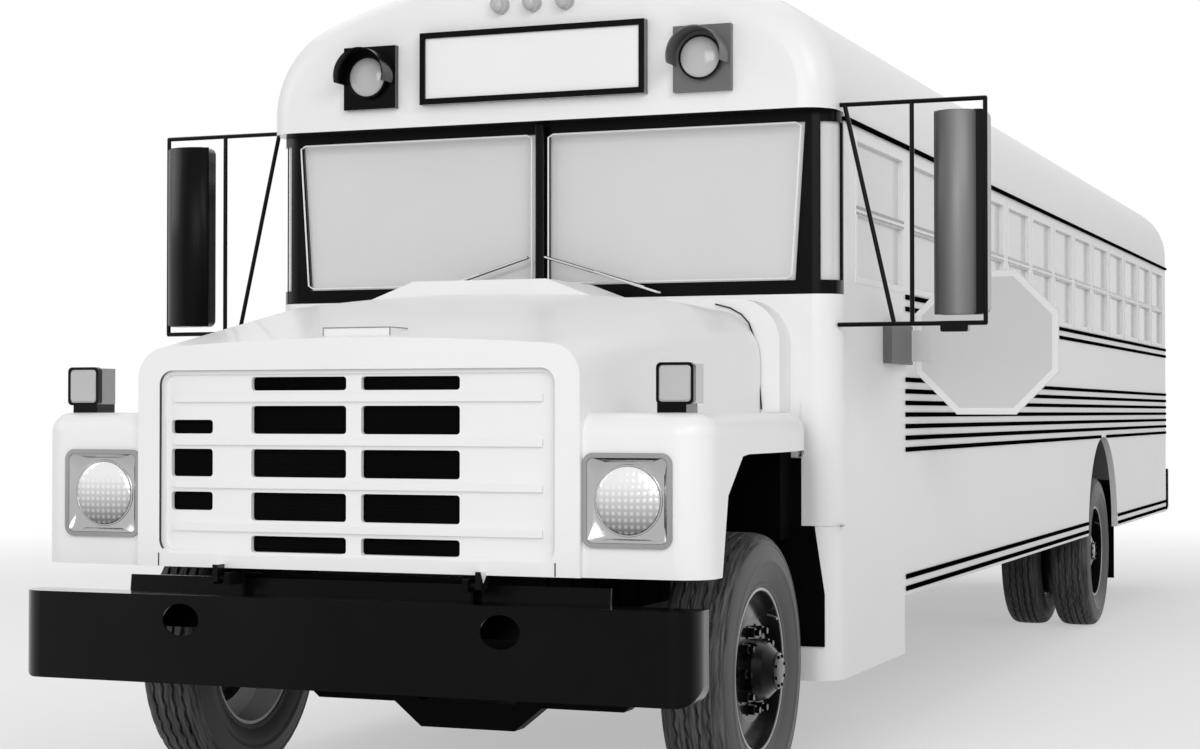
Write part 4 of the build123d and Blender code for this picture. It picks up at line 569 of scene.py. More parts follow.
def add_tyre(form, centre, axle_y):
    """Ribbed tyre with zigzag grooves, shoulder notches and sidewall rings."""
    columns = list(TYRE_COLUMNS)
    columns += [(-x, *rest) for x, *rest in reversed(TYRE_COLUMNS[:-1])]
    rows = []
    for step in range(TREAD_STEPS):
        angle = math.tau * step / TREAD_STEPS
        turn = step % len(ZIGZAG)
        wave = ZIGZAG[turn] * TREAD_WAVE
        row = []
        for x, radius, share, notch in columns:
            reach = radius - (0 if turn else notch)
            y = axle_y + reach * math.cos(angle)
            row.append(Vector((centre + x + wave * share, y, AXLE_Z + reach * math.sin(angle))))
        rows.append(row)
    add_rows(form, rows, closed=True)


def make_tyres():
    for side_name, side in SIDES:
        for body, node, axle_y, centres, *_ in AXLES:
            form = bmesh.new()
            for centre in centres:
                add_tyre(form, side * centre, axle_y)
            tyre = piece(node + side_name + "_treaded", form, tyre_rubber, body + side_name, sharp=50)
            # sidewalls in the paler rubber: painted sheen
            tyre.data.materials.append(sidewall_sheen_rubber)
            for face in tyre.data.polygons:
                reach = math.hypot(face.center.y - axle_y, face.center.z - AXLE_Z)
                face.material_index = int(abs(face.normal.x) > 0.5 and reach < SIDEWALL_RADIUS)
            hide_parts(node + side_name)


def make_nuts(body, side, axle, seat_x):
    nuts = bmesh.new()
    start = side * seat_x
    for centre in circle(STUD_CIRCLE, STUD_COUNT, axle):
        add_prism(nuts, circle(WASHER_RADIUS, 24, centre), "x", start, side * (seat_x + WASHER_THICKNESS))
        end = side * (seat_x + NUT_HEIGHT)
        add_prism(nuts, circle(NUT_RADIUS, 6, centre), "x", start, end, edge=0.003)
    piece(body + "_wheel_nuts", nuts, black, body, sharp=25)


def make_hub_cover(body, side, axle, hub_x):
    hub = bmesh.new()
    add_turned(hub, [(side * (hub_x + depth), radius) for depth, radius in HUB_PROFILE], "x", axle, 40)
    for centre in circle(HUB_BOLT_CIRCLE, HUB_BOLT_COUNT, axle, 0.5):
        outline = circle(HUB_BOLT_RADIUS, 6, centre)
        add_prism(hub, outline, "x", side * hub_x, side * (hub_x + HUB_BOLT_HEIGHT), edge=0.001)
    piece(body + "_hub_cover", hub, black, body, sharp=30)


def make_rim_lip(body, side, axle, rim_x):
    lip = bmesh.new()
    profile = [(side * (rim_x + depth), radius) for depth, radius in LIP_PROFILE]
    add_turned(lip, profile, "x", axle, 96, closed=True)
    piece(body + "_rim_lip", lip, steel, body, sharp=50)


def make_valve(body, side, axle, rim_x):
    valve = bmesh.new()
    route = [(side * (rim_x + x), axle[0] + y, axle[1] + z) for x, y, z in VALVE_ROUTE]
    add_tube(valve, route, VALVE_RADIUS)
    piece(body + "_valve", valve, steel, body)


def make_wheel_fittings():
    for side_name, side in SIDES:
        for end_name, node, axle_y, centres, seat_x, hub_x, rim_x in AXLES:
            body = end_name + side_name
            axle = (axle_y, AXLE_Z)
            make_nuts(body, side, axle, seat_x)
            make_hub_cover(body, side, axle, hub_x)
            make_rim_lip(body, side, axle, rim_x)
            make_valve(body, side, axle, rim_x)


# Lamps; lenses, bands and plates are width, height and corner radius
HEAD_LAMP_Y = FENDER_Y - 0.010
HEAD_LAMP_SURROUND = (
    # width, corner radius, depth behind the lamp's front
    (0.270, 0.020, 0.0010), (0.244, 0.050, 0.0150), (0.232, 0.1155, 0.0165), (0.226, 0.1125, 0.0310),
    (0.270, 0.020, 0.0325),
)
HEAD_LENS_RADIUS = 0.1085
HEAD_LENS_DEPTH = 0.0155
HEAD_LENS_BULGE = 0.011
HEAD_RING_RADII = (0.116, 0.1087)
HEAD_RING_DEPTHS = (0.0135, 0.02)
LENS_EDGE = 0.004
SIGNAL_X = 1.112
SIGNAL_Y = -5.76
SIGNAL_Z = 1.4935
SIGNAL_LENS = (0.104, 0.112, 0.012)
SIGNAL_LENS_YS = (SIGNAL_Y + 0.002, SIGNAL_Y - 0.006)
SIGNAL_BAND_OUTER = (0.127, 0.135, 0.016)
SIGNAL_BAND_INNER = (0.108, 0.116, 0.012)
SIGNAL_BAND_YS = (SIGNAL_Y - 0.002, SIGNAL_Y + 0.022)
WARNING_LAMPS = (
    # x, height, face's y, way it looks
    (0.717, 2.77, -4.3395, -1),
    (0.620, 2.83, 5.8795, 1),
)
WARNING_RADIUS = 0.08
WARNING_BULGE = 0.02
WARNING_RING_RADII = (WARNING_RADIUS + 0.007, WARNING_RADIUS - 0.001)
WARNING_RING_WIDTH = 0.009
MARKER_SPACING = 0.14
MARKER_Z = 3.028
MARKER_HALF = 0.026
MARKER_REACH_UP = 0.052
MARKER_REACH_DOWN = 0.03
MARKER_YS = (-4.28, -4.345)
REAR_LAMP_X = 1.01
REAR_LAMP_Z = 1.29
REAR_LAMP_PITCH = 0.188
REAR_LENS_Y = 5.864
REAR_LENS_RADIUS = 0.078
REAR_LENS_BULGE = 0.008
REAR_RING_RADII = (0.0885, 0.0775)
REAR_RING_YS = (5.848, 5.8665)


def add_dome(form, centre, radius, y, bulge, out, count=40):
    """Round lens crowned along y."""
    profile = [(y, radius), (y + out * LENS_EDGE, radius)]
    for step in range(1, 7):
        angle = math.pi / 2 * step / 6
        profile.append((y + out * (LENS_EDGE + bulge * math.sin(angle)), radius * math.cos(angle)))
    add_turned(form, profile, "y", centre, count)


def add_ring(form, centre, radii, count, start, end):
    outer, inner = (circle(radius, count, centre) for radius in radii)
    add_frame(form, outer, inner, "y", start, end)


def make_headlamps():
    shell, lens, ring = bmesh.new(), bmesh.new(), bmesh.new()
    start, end = (HEAD_LAMP_Y + depth for depth in HEAD_RING_DEPTHS)
    for side in (1, -1):
        centre = (side * HEAD_LAMP_X, HEAD_LAMP_Z)
        add_rows(shell, [
            layer("y", rounded(width, width, corner, centre, 8), HEAD_LAMP_Y + depth)
            for width, corner, depth in HEAD_LAMP_SURROUND], closed=True)
        add_dome(lens, centre, HEAD_LENS_RADIUS, HEAD_LAMP_Y + HEAD_LENS_DEPTH, HEAD_LENS_BULGE, -1, 56)
        add_ring(ring, centre, HEAD_RING_RADII, 56, start, end)
    piece("headlamp_surrounds", shell, chrome, "hood_lid", sharp=30)
    piece("headlamp_lenses", lens, fluted_lens, "hood_lid")
    piece("headlamp_rings", ring, chrome, "hood_lid", sharp=30, bevel=0.002)


def make_turn_signals():
    lens, band = bmesh.new(), bmesh.new()
    for side in (1, -1):
        centre = (side * SIGNAL_X, SIGNAL_Z)
        add_prism(lens, rounded(*SIGNAL_LENS, centre), "y", *SIGNAL_LENS_YS, edge=0.004)
        outer, inner = rounded(*SIGNAL_BAND_OUTER, centre), rounded(*SIGNAL_BAND_INNER, centre)
        add_frame(band, outer, inner, "y", *SIGNAL_BAND_YS)
    piece("turn_signal_lenses", lens, lamp_lens, "hood_lid", sharp=30)
    piece("turn_signal_bands", band, black, "hood_lid", sharp=30)


def marker_outline(x):
    """Round below and drawn up above."""
    outline = []
    for step in range(24):
        angle = math.tau * step / 24
        reach = MARKER_REACH_UP if math.sin(angle) > 0 else MARKER_REACH_DOWN
        outline.append((x + MARKER_HALF * math.cos(angle), MARKER_Z + reach * math.sin(angle)))
    return outline


def make_warning_lamps():
    lens, ring, marks = bmesh.new(), bmesh.new(), bmesh.new()
    for x, z, y, out in WARNING_LAMPS:
        for side in (1, -1):
            centre = (side * x, z)
            add_dome(lens, centre, WARNING_RADIUS, y, WARNING_BULGE, out)
            add_ring(ring, centre, WARNING_RING_RADII, 40, y, y + out * WARNING_RING_WIDTH)
    for place in (-1, 0, 1):
        add_prism(marks, marker_outline(place * MARKER_SPACING), "y", *MARKER_YS, edge=0.016)
    piece("warning_lenses", lens, lamp_lens, "bus")
    piece("warning_lamp_rings", ring, black, "bus", sharp=30, bevel=0.001)
    piece("marker_lamp_covers", marks, lamp_lens, "bus", sharp=60)


def make_rear_lamps():
    lens, ring = bmesh.new(), bmesh.new()
    for side in (1, -1):
        for row in range(3):
            centre = (side * REAR_LAMP_X, REAR_LAMP_Z + REAR_LAMP_PITCH * row)
            add_dome(lens, centre, REAR_LENS_RADIUS, REAR_LENS_Y, REAR_LENS_BULGE, 1)
            add_ring(ring, centre, REAR_RING_RADII, 40, *REAR_RING_YS)
    piece("rear_lamp_lenses", lens, lamp_lens, "bus")
    piece("rear_lamp_rings", ring, rubber, "bus", sharp=30, bevel=0.002)


# Windshield and side windows; the divider is width, depth and corner radius
WIPER_Y = BODY_Y - 0.075
WIPERS = (
    # arm's foot, arm's end, blade's low end, blade's high end, as x and z
    ((0.515, 1.872), (0.25, 1.957), (0.46, 1.893), (0.037, 2.021)),
    ((-0.515, 1.872), (-0.25, 1.957), (-0.46, 1.893), (-0.037, 2.021)),
)
WIPER_PIVOT_YS = (WIPER_Y + 0.03, WIPER_Y - 0.004)
WIPER_ELBOW_Y = WIPER_Y - 0.012
WIPER_BLADE_Y = WIPER_Y + 0.008
WIPER_ARM_RADIUS = 0.0045
WIPER_SPINE_RADIUS = 0.0035
WIPER_BLADE_RADIUS = 0.006
DIVIDER = (0.036, 0.014, 0.006)
DIVIDER_Y = BODY_Y - 0.036
DIVIDER_Z = (1.9, 2.555)
PANE_CORNERS = ((0.036, 1.917), (1.048, 1.917), (1.087, 2.515), (0.036, 2.515))
BEAD_Y = BODY_Y - 0.033
BEAD_RADIUS = 0.0035
BEAD_CORNER = 0.02
SASH_X = (1.2225, 1.2245)
SASH_BARS = ((2.184, 2.192), (2.205, 2.217))
SASH_START = BODY_Y + 1.239
SASH_LENGTH = 0.6212
SASH_COUNT = 12
DRIVER_SASH = (BODY_Y + 0.270, 0.810)
SASH_INSET = 0.012


def make_wipers():
    arms, blades = bmesh.new(), bmesh.new()
    for foot, tip, low, high in WIPERS:
        arm = [(foot[0], y, foot[1]) for y in WIPER_PIVOT_YS]
        arm.append(((foot[0] + tip[0]) / 2, WIPER_ELBOW_Y, (foot[1] + tip[1]) / 2))
        arm.append((tip[0], WIPER_Y, tip[1]))
        add_tube(arms, arm, WIPER_ARM_RADIUS)
        add_tube(blades, [(x, WIPER_BLADE_Y, z) for x, z in (low, high)], WIPER_BLADE_RADIUS)
        add_tube(arms, [(x, WIPER_Y, z) for x, z in (low, high)], WIPER_SPINE_RADIUS)
    piece("wiper_arms", arms, aluminium, "bus")
    piece("wiper_blades", blades, rubber, "bus")


def make_divider():
    form = bmesh.new()
    add_prism(form, rounded(*DIVIDER, (0, DIVIDER_Y)), "z", *DIVIDER_Z)
    piece("screen_divider", form, black, "bus", sharp=50)


def make_windshield_beads():
    """Thin pale beads round the windshield panes."""
    beads = bmesh.new()
    for side in (1, -1):
        points = []
        for (x0, z0), (x1, z1) in zip(PANE_CORNERS, PANE_CORNERS[1:] + PANE_CORNERS[:1]):
            for step in range(6):
                share = BEAD_CORNER + (1 - 2 * BEAD_CORNER) * step / 5
                points.append((side * (x0 + (x1 - x0) * share), BEAD_Y, z0 + (z1 - z0) * share))
        add_tube(beads, points, BEAD_RADIUS, 6, closed=True)
    piece("windshield_beads", beads, white, "bus")


def make_sash_bars():
    """Dark bars across the side windows, and across the driver's window."""
    bars = bmesh.new()
    for side in (1, -1):
        sashes = [(SASH_START + WINDOW_PITCH * row, SASH_LENGTH) for row in range(SASH_COUNT)]
        if side > 0:
            sashes.append(DRIVER_SASH)
        for start, length in sashes:
            for low, high in SASH_BARS:
                add_side_box(bars, side, *SASH_X, start + SASH_INSET, start + length - SASH_INSET, low, high)
    piece("sash_bars", bars, black, "bus")


# Grille screen, valance and wheel liners
GRILLE_SCREEN_Y = -5.806
GRILLE_SCREEN_Z = 1.23
GRILLE_SCREEN_WIDTH = 1.44
GRILLE_SCREEN_HEIGHT = 0.62
GRILLE_SCREEN_CORNER = 0.03
GRILLE_SCREEN_MARGIN = 0.02
GRILLE_SCREEN_STEP = 0.024
GRILLE_WIRE = 0.004
VALANCE_OUTLINE = (
    (-5.80, 0.66), (-5.79, 0.66), (-5.775, 0.74), (-5.765, 0.835), (-5.775, 0.835), (-5.787, 0.74))
VALANCE_RIB = ((-5.79, 0.67), (-5.74, 0.70), (-5.735, 0.83), (-5.767, 0.83))
VALANCE_HALF = 0.9
VALANCE_RIB_STEP = 0.21
VALANCE_RIB_HALF = 0.004
APRON_X = (0.600, 0.604)
APRON_Y = (-5.68, -4.37)
APRON_Z = (0.68, 1.28)
APRON_RIB_X = (0.604, 0.612)
APRON_RIB_START = -5.60
APRON_RIB_STEP = 0.22
APRON_RIB_WIDTH = 0.03
APRON_RIB_Z = (0.70, 1.26)
COWL_SIDE_X = (1.0352, 1.0372)
COWL_SIDE_Y = (-4.345, -4.20)
COWL_FRONT_X = (0.60, 1.0372)
COWL_FRONT_Y = (-4.3475, -4.3453)
COWL_LINER_Z = (0.915, 1.30)


def make_grille_screen():
    """Dark screen with ribs close behind the grille."""
    form = bmesh.new()
    y = GRILLE_SCREEN_Y
    middle = (0, GRILLE_SCREEN_Z)
    outline = rounded(GRILLE_SCREEN_WIDTH, GRILLE_SCREEN_HEIGHT, GRILLE_SCREEN_CORNER, middle)
    add_prism(form, outline, "y", y, y + GRILLE_WIRE)
    half = GRILLE_SCREEN_WIDTH / 2 - GRILLE_SCREEN_MARGIN
    for row in range(1, int(GRILLE_SCREEN_HEIGHT / GRILLE_SCREEN_STEP)):
        z = GRILLE_SCREEN_Z - GRILLE_SCREEN_HEIGHT / 2 + row * GRILLE_SCREEN_STEP
        add_box(form, -half, half, y - GRILLE_WIRE, y, z - GRILLE_WIRE, z + GRILLE_WIRE)
    piece("grille_screen", form, rubber, "hood_lid")


def make_valance():
    """Black air guide between the bumper and the radiator."""
    form = bmesh.new()
    add_prism(form, VALANCE_OUTLINE, "x", -VALANCE_HALF, VALANCE_HALF)
    for place in range(-4, 5):
        x = place * VALANCE_RIB_STEP
        add_prism(form, VALANCE_RIB, "x", x - VALANCE_RIB_HALF, x + VALANCE_RIB_HALF)
    piece("front_valance", form, black, "bus")


def make_wheel_liners():
    """Black aprons between the engine bay and the front wheels, and liners on the cowl."""
    form = bmesh.new()
    for side in (1, -1):
        add_side_box(form, side, *APRON_X, *APRON_Y, *APRON_Z)
        for rib in range(6):
            y = APRON_RIB_START + APRON_RIB_STEP * rib
            add_side_box(form, side, *APRON_RIB_X, y, y + APRON_RIB_WIDTH, *APRON_RIB_Z)
        add_side_box(form, side, *COWL_SIDE_X, *COWL_SIDE_Y, *COWL_LINER_Z)
        add_side_box(form, side, *COWL_FRONT_X, *COWL_FRONT_Y, *COWL_LINER_Z)
    piece("wheel_aprons", form, rubber, "bus")


# Door fittings, seams and beads
REAR_DOOR_Z = 1.7325
REAR_SEAL_OUTER = (0.752, 1.507, 0.03)
REAR_SEAL_INNER = (0.738, 1.493, 0.024)
REAR_SEAL_YS = (REAR_FACE_Y - 0.004, REAR_FACE_Y + 0.003)
HANDLE_X = 0.29
HANDLE_Z = 1.66
HANDLE_PLATE = (0.05, 0.15, 0.015)
HANDLE_PLATE_YS = (REAR_FACE_Y - 0.001, REAR_FACE_Y + 0.010)
HANDLE_ROUTE = (
    # x, distance behind the door, height
    (0.29, 0.006, 1.66), (0.29, 0.034, 1.66), (0.27, 0.038, 1.66), (0.19, 0.038, 1.658), (0.17, 0.036, 1.654))
HANDLE_RADIUS = 0.009
ENTRANCE_RUBBERS = (("entrance_front", 0.584, 0.598), ("entrance_rear", 0.602, 0.616))
RUBBER_THICKNESS = 0.004
RUBBER_Z = (0.42, 2.43)
LATCH_X = 0.125
LATCH_FRONT = -5.8105
LATCH_BACK = -5.68
LATCH_LOW = 1.634
LATCH_TOP = 1.685
THIN_BEAD = 0.0022
SEAM_BEAD = 0.003
HOOD_SEAM_Y = -4.351
HOOD_SEAM = (
    # x, height
    (0.78, 1.816), (0.84, 1.800), (0.885, 1.775), (0.915, 1.742), (0.938, 1.68), (0.952, 1.56),
    (0.965, 1.412),
)
NOSE_SEAM = (0.7385, -5.8555)
NOSE_SEAM_Z = (0.874, 0.918)
CORNER_SEAM = ((1.2195, BODY_Y + 0.104, 0.966), (1.2275, BODY_Y + 0.02, 0.966))


def make_rear_door_fittings():
    seals, handle = bmesh.new(), bmesh.new()
    middle = (0, REAR_DOOR_Z)
    outer, inner = rounded(*REAR_SEAL_OUTER, middle), rounded(*REAR_SEAL_INNER, middle)
    add_frame(seals, outer, inner, "y", *REAR_SEAL_YS)
    piece("rear_door_seal", seals, rubber, "bus", sharp=30)
    plate = rounded(*HANDLE_PLATE, (HANDLE_X, HANDLE_Z))
    add_prism(handle, plate, "y", *HANDLE_PLATE_YS, edge=0.003)
    add_tube(handle, [(x, REAR_FACE_Y + out, z) for x, out, z in HANDLE_ROUTE], HANDLE_RADIUS, 10)
    piece("rear_door_handle", handle, steel, "back_door")


def make_entrance_rubbers():
    """Edge rubbers where the entrance leaves meet."""
    for body, start, end in ENTRANCE_RUBBERS:
        form = bmesh.new()
        outer_x, inner_x = -BODY_HALF_WIDTH, -BODY_HALF_WIDTH + RUBBER_THICKNESS
        add_box(form, outer_x, inner_x, BODY_Y + start, BODY_Y + end, *RUBBER_Z)
        piece(body + "_edge_rubber", form, rubber, body)


def make_latch_shade_lines():
    """Thin grey beads along the edges of the hood's latch block: painted shade lines on the white block."""
    form = bmesh.new()
    for z in (LATCH_TOP, LATCH_LOW):
        add_tube(form, [(x, LATCH_FRONT, z) for x in (-LATCH_X, 0, LATCH_X)], THIN_BEAD, 6)
    for side in (1, -1):
        x = side * LATCH_X
        corners = ((LATCH_FRONT, LATCH_LOW), (LATCH_FRONT, LATCH_TOP), (LATCH_BACK, LATCH_TOP))
        add_tube(form, [(x, y, z) for y, z in corners], THIN_BEAD, 6)
    piece("latch_shade_lines", form, grey_paint, "hood_lid")


def make_seams():
    """Dark lines where the hood meets the cowl, and at the nose's and the body's corners."""
    form = bmesh.new()
    for side in (1, -1):
        add_tube(form, [(side * x, HOOD_SEAM_Y, z) for x, z in HOOD_SEAM], SEAM_BEAD, 6)
    for side in (1, -1):
        x, y = side * NOSE_SEAM[0], NOSE_SEAM[1]
        add_tube(form, [(x, y, z) for z in NOSE_SEAM_Z], THIN_BEAD, 6)
        add_tube(form, [(side * x, y, z) for x, y, z in CORNER_SEAM], SEAM_BEAD, 6)
    piece("front_seams", form, black, "hood_lid")


# Signs and mirrors
STOP_CENTRE = (1.570, 1.697)
STOP_Y = -3.093
STOP_HALF_THICKNESS = 0.004
STOP_BORDER = (0.303, 0.277)
BORDER_RELIEF = 0.0015
MIRROR_LOW = 1.770
MIRROR_HIGH = 2.545
MIRROR_CROWN = 0.04
MIRROR_CROWN_POWER = 0.7
MIRROR_BACK = 0.004
MIRROR_STEPS = 12
MIRROR_LEVELS = (
    # height, share of the width
    (MIRROR_LOW + 0.001, 0.9), (MIRROR_LOW + 0.008, 1), (MIRROR_HIGH - 0.008, 1), (MIRROR_HIGH - 0.001, 0.9),
)
MIRROR_GLASS = (0.185, 0.755, 0.02)
MIRROR_GLASS_YS = (MIRROR_Y + 0.061, MIRROR_Y + 0.0645)
BRACKET_PLATE = (0.106, 0.036, 0.008)
BRACKET_PLACE = (1.663, 1.7235)
BRACKET_YS = (MIRROR_Y - 0.012, MIRROR_Y + 0.03)


def make_mirror_bracket():
    """Small bracket on the lower tube under the driver's mirror."""
    form = bmesh.new()
    add_prism(form, rounded(*BRACKET_PLATE, BRACKET_PLACE), "y", *BRACKET_YS, edge=0.004)
    piece("mirror_bracket", form, black, "bus")


def make_stop_sign_trim():
    """Pale border on both faces of the stop arm's octagon, which is blank."""
    form = bmesh.new()
    for out in (-1, 1):
        y = STOP_Y + out * STOP_HALF_THICKNESS
        outer, inner = (circle(half / math.cos(math.pi / 8), 8, STOP_CENTRE, 0.5) for half in STOP_BORDER)
        add_frame(form, outer, inner, "y", y, y + out * BORDER_RELIEF)
    piece("stop_sign_border", form, white, "stop_arm", sharp=30)


def mirror_row(side, x0, x1, z, keep):
    """Outline of a mirror cover at one height: crowned before, flat behind."""
    row = []
    for step in range(MIRROR_STEPS + 1):
        share = step / MIRROR_STEPS
        x = x0 + (x1 - x0) * (0.5 + (share - 0.5) * keep)
        crown = MIRROR_CROWN * math.sin(math.pi * share) ** MIRROR_CROWN_POWER * keep
        row.append(Vector((side * x, MIRROR_Y - crown, z)))
    row.append(Vector((side * x1, MIRROR_Y + MIRROR_BACK, z)))
    row.append(Vector((side * x0, MIRROR_Y + MIRROR_BACK, z)))
    return row


def make_mirror_covers():
    """Crowned housings before the mirror heads and glass behind them."""
    # The driver's cover takes the painted shading grey and the passenger's stays black: painted light on one
    # of two like housings
    for (name, side), material in zip(SIDES, (mirror_painted_shading, black)):
        cover, glass = bmesh.new(), bmesh.new()
        x0 = MIRROR_X - MIRROR_WIDTH
        x1 = MIRROR_X - (MIRROR_SHADED_END if side > 0 else 0)
        add_rows(cover, [mirror_row(side, x0, x1, z, keep) for z, keep in MIRROR_LEVELS])
        piece(name + "_mirror_cover", cover, material, "bus", sharp=50)
        middle = (side * (MIRROR_X - MIRROR_WIDTH / 2), (MIRROR_LOW + MIRROR_HIGH) / 2)
        add_prism(glass, rounded(*MIRROR_GLASS, middle), "y", *MIRROR_GLASS_YS, edge=0.001)
        piece(name + "_mirror_glass", glass, chrome, "bus", sharp=30)


# Seats; cushions and backs are depth, height and the crown's share of it
RIGHT = Vector((1, 0, 0))
BACK = Vector((0, 1, 0))
UP = Vector((0, 0, 1))
PAD_CORNER_SHARE = 0.16
PAD_PULL_SHARE = 0.02
PAD_RINGS = (
    # share of the width, share of the height below the crown, share of the crown
    (0.0, 0.02, 0), (0.55, 0.0, 0), (0.93, 0.02, 0), (1.0, 0.16, 0), (1.0, 0.5, 0), (1.0, 0.8, 0),
    (0.975, 0.93, 0), (0.95, 0.91, 0), (0.90, 0.97, 0.1), (0.72, 1.0, 0.6), (0.42, 1.0, 0.9), (0.0, 1.0, 1),
)
BENCH_ROWS = 11
BENCH_X = 0.685
BENCH_Y = BODY_Y + 1.56
BENCH_WIDTH = 0.945
BENCH_CUSHION = (0.408, 0.122, 0.16)
BENCH_CUSHION_Y = 0.208
BENCH_CUSHION_Z = 1.292
BENCH_BACK = (0.69, 0.078, 0.2)
BENCH_BACK_Y = 0.50
BENCH_BACK_Z = 1.33
BENCH_BACK_RISE = 0.345
BENCH_BACK_SET = -0.01
BENCH_LEAN = Vector((0, 0.09, 0.61)).normalized()
BENCH_LEG_X = 0.265
BENCH_LEG_RADIUS = 0.013
BENCH_LEG_TOP = 1.27
BENCH_BEND_Z = 1.288
BENCH_BEND_Y = 0.03
BENCH_PAN_X = (0.235, 1.178)
BENCH_PAN_Y = (0.03, 0.39)
BENCH_PAN_Z = (1.281, 1.291)
BENCH_FEET = (0.06, 0.38)
FOOT_HALF = 0.03
FOOT_Z = (FLOOR_TOP + 0.0005, FLOOR_TOP + 0.006)
LEG_LOW_Z = FLOOR_TOP + 0.004
DRIVER_X = 0.56
DRIVER_Y = BODY_Y + 0.98
DRIVER_WIDTH = 0.49
DRIVER_CUSHION = (0.41, 0.122, 0.2)
DRIVER_CUSHION_Y = DRIVER_Y - 0.208
DRIVER_CUSHION_Z = 1.262
DRIVER_BACK = (0.86, 0.08, 0.25)
DRIVER_BACK_Y = DRIVER_Y + 0.084
DRIVER_BACK_Z = 1.31
DRIVER_BACK_RISE = 0.43
DRIVER_LEAN = Vector((0, 0.09, 0.78)).normalized()
PEDESTAL_Y = DRIVER_Y - 0.2
PEDESTAL_CORNER = 0.03
PEDESTAL_FOOT = 0.26
PEDESTAL_FOOT_Z = (FLOOR_TOP + 0.001, FLOOR_TOP + 0.012)
PEDESTAL_TOP = (0.4, 0.34)
PEDESTAL_TOP_Z = (1.245, 1.261)
BELLOWS_COUNT = 6
BELLOWS_STEP = 0.046
BELLOWS_HEIGHT = 0.044
BELLOWS_HALF = 0.10
BELLOWS_FOLD = 0.012
BELLOWS_EDGE = 0.008


def add_cushion(form, origin, across, along, up, width, depth, height, crown):
    """Crowned pad with pulled-in sides: a closed form on a rounded outline."""
    outline = rounded(1, 1, PAD_CORNER_SHARE)
    rows = []
    for scale, rise, lift in PAD_RINGS:
        scale = max(scale, 0.002)
        row = []
        for a, b in outline:
            pull_a = 1 - PAD_PULL_SHARE * (1 - min(1, abs(2 * b)) ** 2)
            pull_b = 1 - PAD_PULL_SHARE * (1 - min(1, abs(2 * a)) ** 2)
            row.append(
                origin + across * (a * pull_a * scale * width) + along * (b * pull_b * scale * depth)
                + up * (rise * height * (1 - crown) + lift * height * crown))
        rows.append(row)
    add_rows(form, rows)


def across_lean(lean):
    """The way a leaning back's face looks."""
    return Vector((0, -lean.z, lean.y))


def add_bench_frame(form, side, y):
    """Bent leg on the aisle, pan under the cushion and feet on the floor."""
    x = side * BENCH_LEG_X
    first, last = (y + foot for foot in BENCH_FEET)
    add_tube(form, [
        (x, first, LEG_LOW_Z), (x, first, BENCH_LEG_TOP), (x, first + BENCH_BEND_Y, BENCH_BEND_Z),
        (x, last - BENCH_BEND_Y, BENCH_BEND_Z), (x, last, BENCH_LEG_TOP), (x, last, LEG_LOW_Z)],
        BENCH_LEG_RADIUS)
    pan_front, pan_back = (y + edge for edge in BENCH_PAN_Y)
    add_side_box(form, side, *BENCH_PAN_X, pan_front, pan_back, *BENCH_PAN_Z)
    for foot_y in (first, last):
        add_box(form, x - FOOT_HALF, x + FOOT_HALF, foot_y - FOOT_HALF, foot_y + FOOT_HALF, *FOOT_Z)


def make_benches():
    cushions, backs, frames = bmesh.new(), bmesh.new(), bmesh.new()
    face = across_lean(BENCH_LEAN)
    for row in range(BENCH_ROWS):
        y = BENCH_Y + WINDOW_PITCH * row
        for side in (1, -1):
            x = side * BENCH_X
            place = Vector((x, y + BENCH_CUSHION_Y, BENCH_CUSHION_Z))
            add_cushion(cushions, place, RIGHT, BACK, UP, BENCH_WIDTH, *BENCH_CUSHION)
            foot = Vector((x, y + BENCH_BACK_Y, BENCH_BACK_Z))
            place = foot + BENCH_LEAN * BENCH_BACK_RISE + face * BENCH_BACK_SET
            add_cushion(backs, place, RIGHT, BENCH_LEAN, face, BENCH_WIDTH, *BENCH_BACK)
            add_bench_frame(frames, side, y)
    seats = piece("bench_cushions", cushions, vinyl, "bus", sharp=80)
    rests = piece("bench_backs", backs, vinyl, "bus", sharp=80)
    legs = piece("bench_frames", frames, steel, "bus", sharp=50)
    for part in (seats, rests, legs):
        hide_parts("bench_seats")


def make_driver_seat():
    pad, post = bmesh.new(), bmesh.new()
    face = across_lean(DRIVER_LEAN)
    place = Vector((DRIVER_X, DRIVER_CUSHION_Y, DRIVER_CUSHION_Z))
    add_cushion(pad, place, RIGHT, BACK, UP, DRIVER_WIDTH, *DRIVER_CUSHION)
    place = Vector((DRIVER_X, DRIVER_BACK_Y, DRIVER_BACK_Z)) + DRIVER_LEAN * DRIVER_BACK_RISE
    add_cushion(pad, place, RIGHT, DRIVER_LEAN, face, DRIVER_WIDTH, *DRIVER_BACK)
    seat = piece("driver_cushions", pad, vinyl, "bus", sharp=80)
    centre = (DRIVER_X, PEDESTAL_Y)
    for fold in range(BELLOWS_COUNT):
        z = PEDESTAL_FOOT_Z[1] + fold * BELLOWS_STEP
        width = 2 * (BELLOWS_HALF - BELLOWS_FOLD * (fold % 2))
        outline = rounded(width, width, PEDESTAL_CORNER, centre)
        add_prism(post, outline, "z", z, z + BELLOWS_HEIGHT, BELLOWS_EDGE)
    add_prism(post, rounded(PEDESTAL_FOOT, PEDESTAL_FOOT, PEDESTAL_CORNER, centre), "z", *PEDESTAL_FOOT_Z)
    add_prism(post, rounded(*PEDESTAL_TOP, PEDESTAL_CORNER, centre), "z", *PEDESTAL_TOP_Z)
    stand = piece("driver_seat_stand", post, dark_grey, "bus", sharp=50)
    for part in (seat, stand):
        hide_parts("driver_seat")


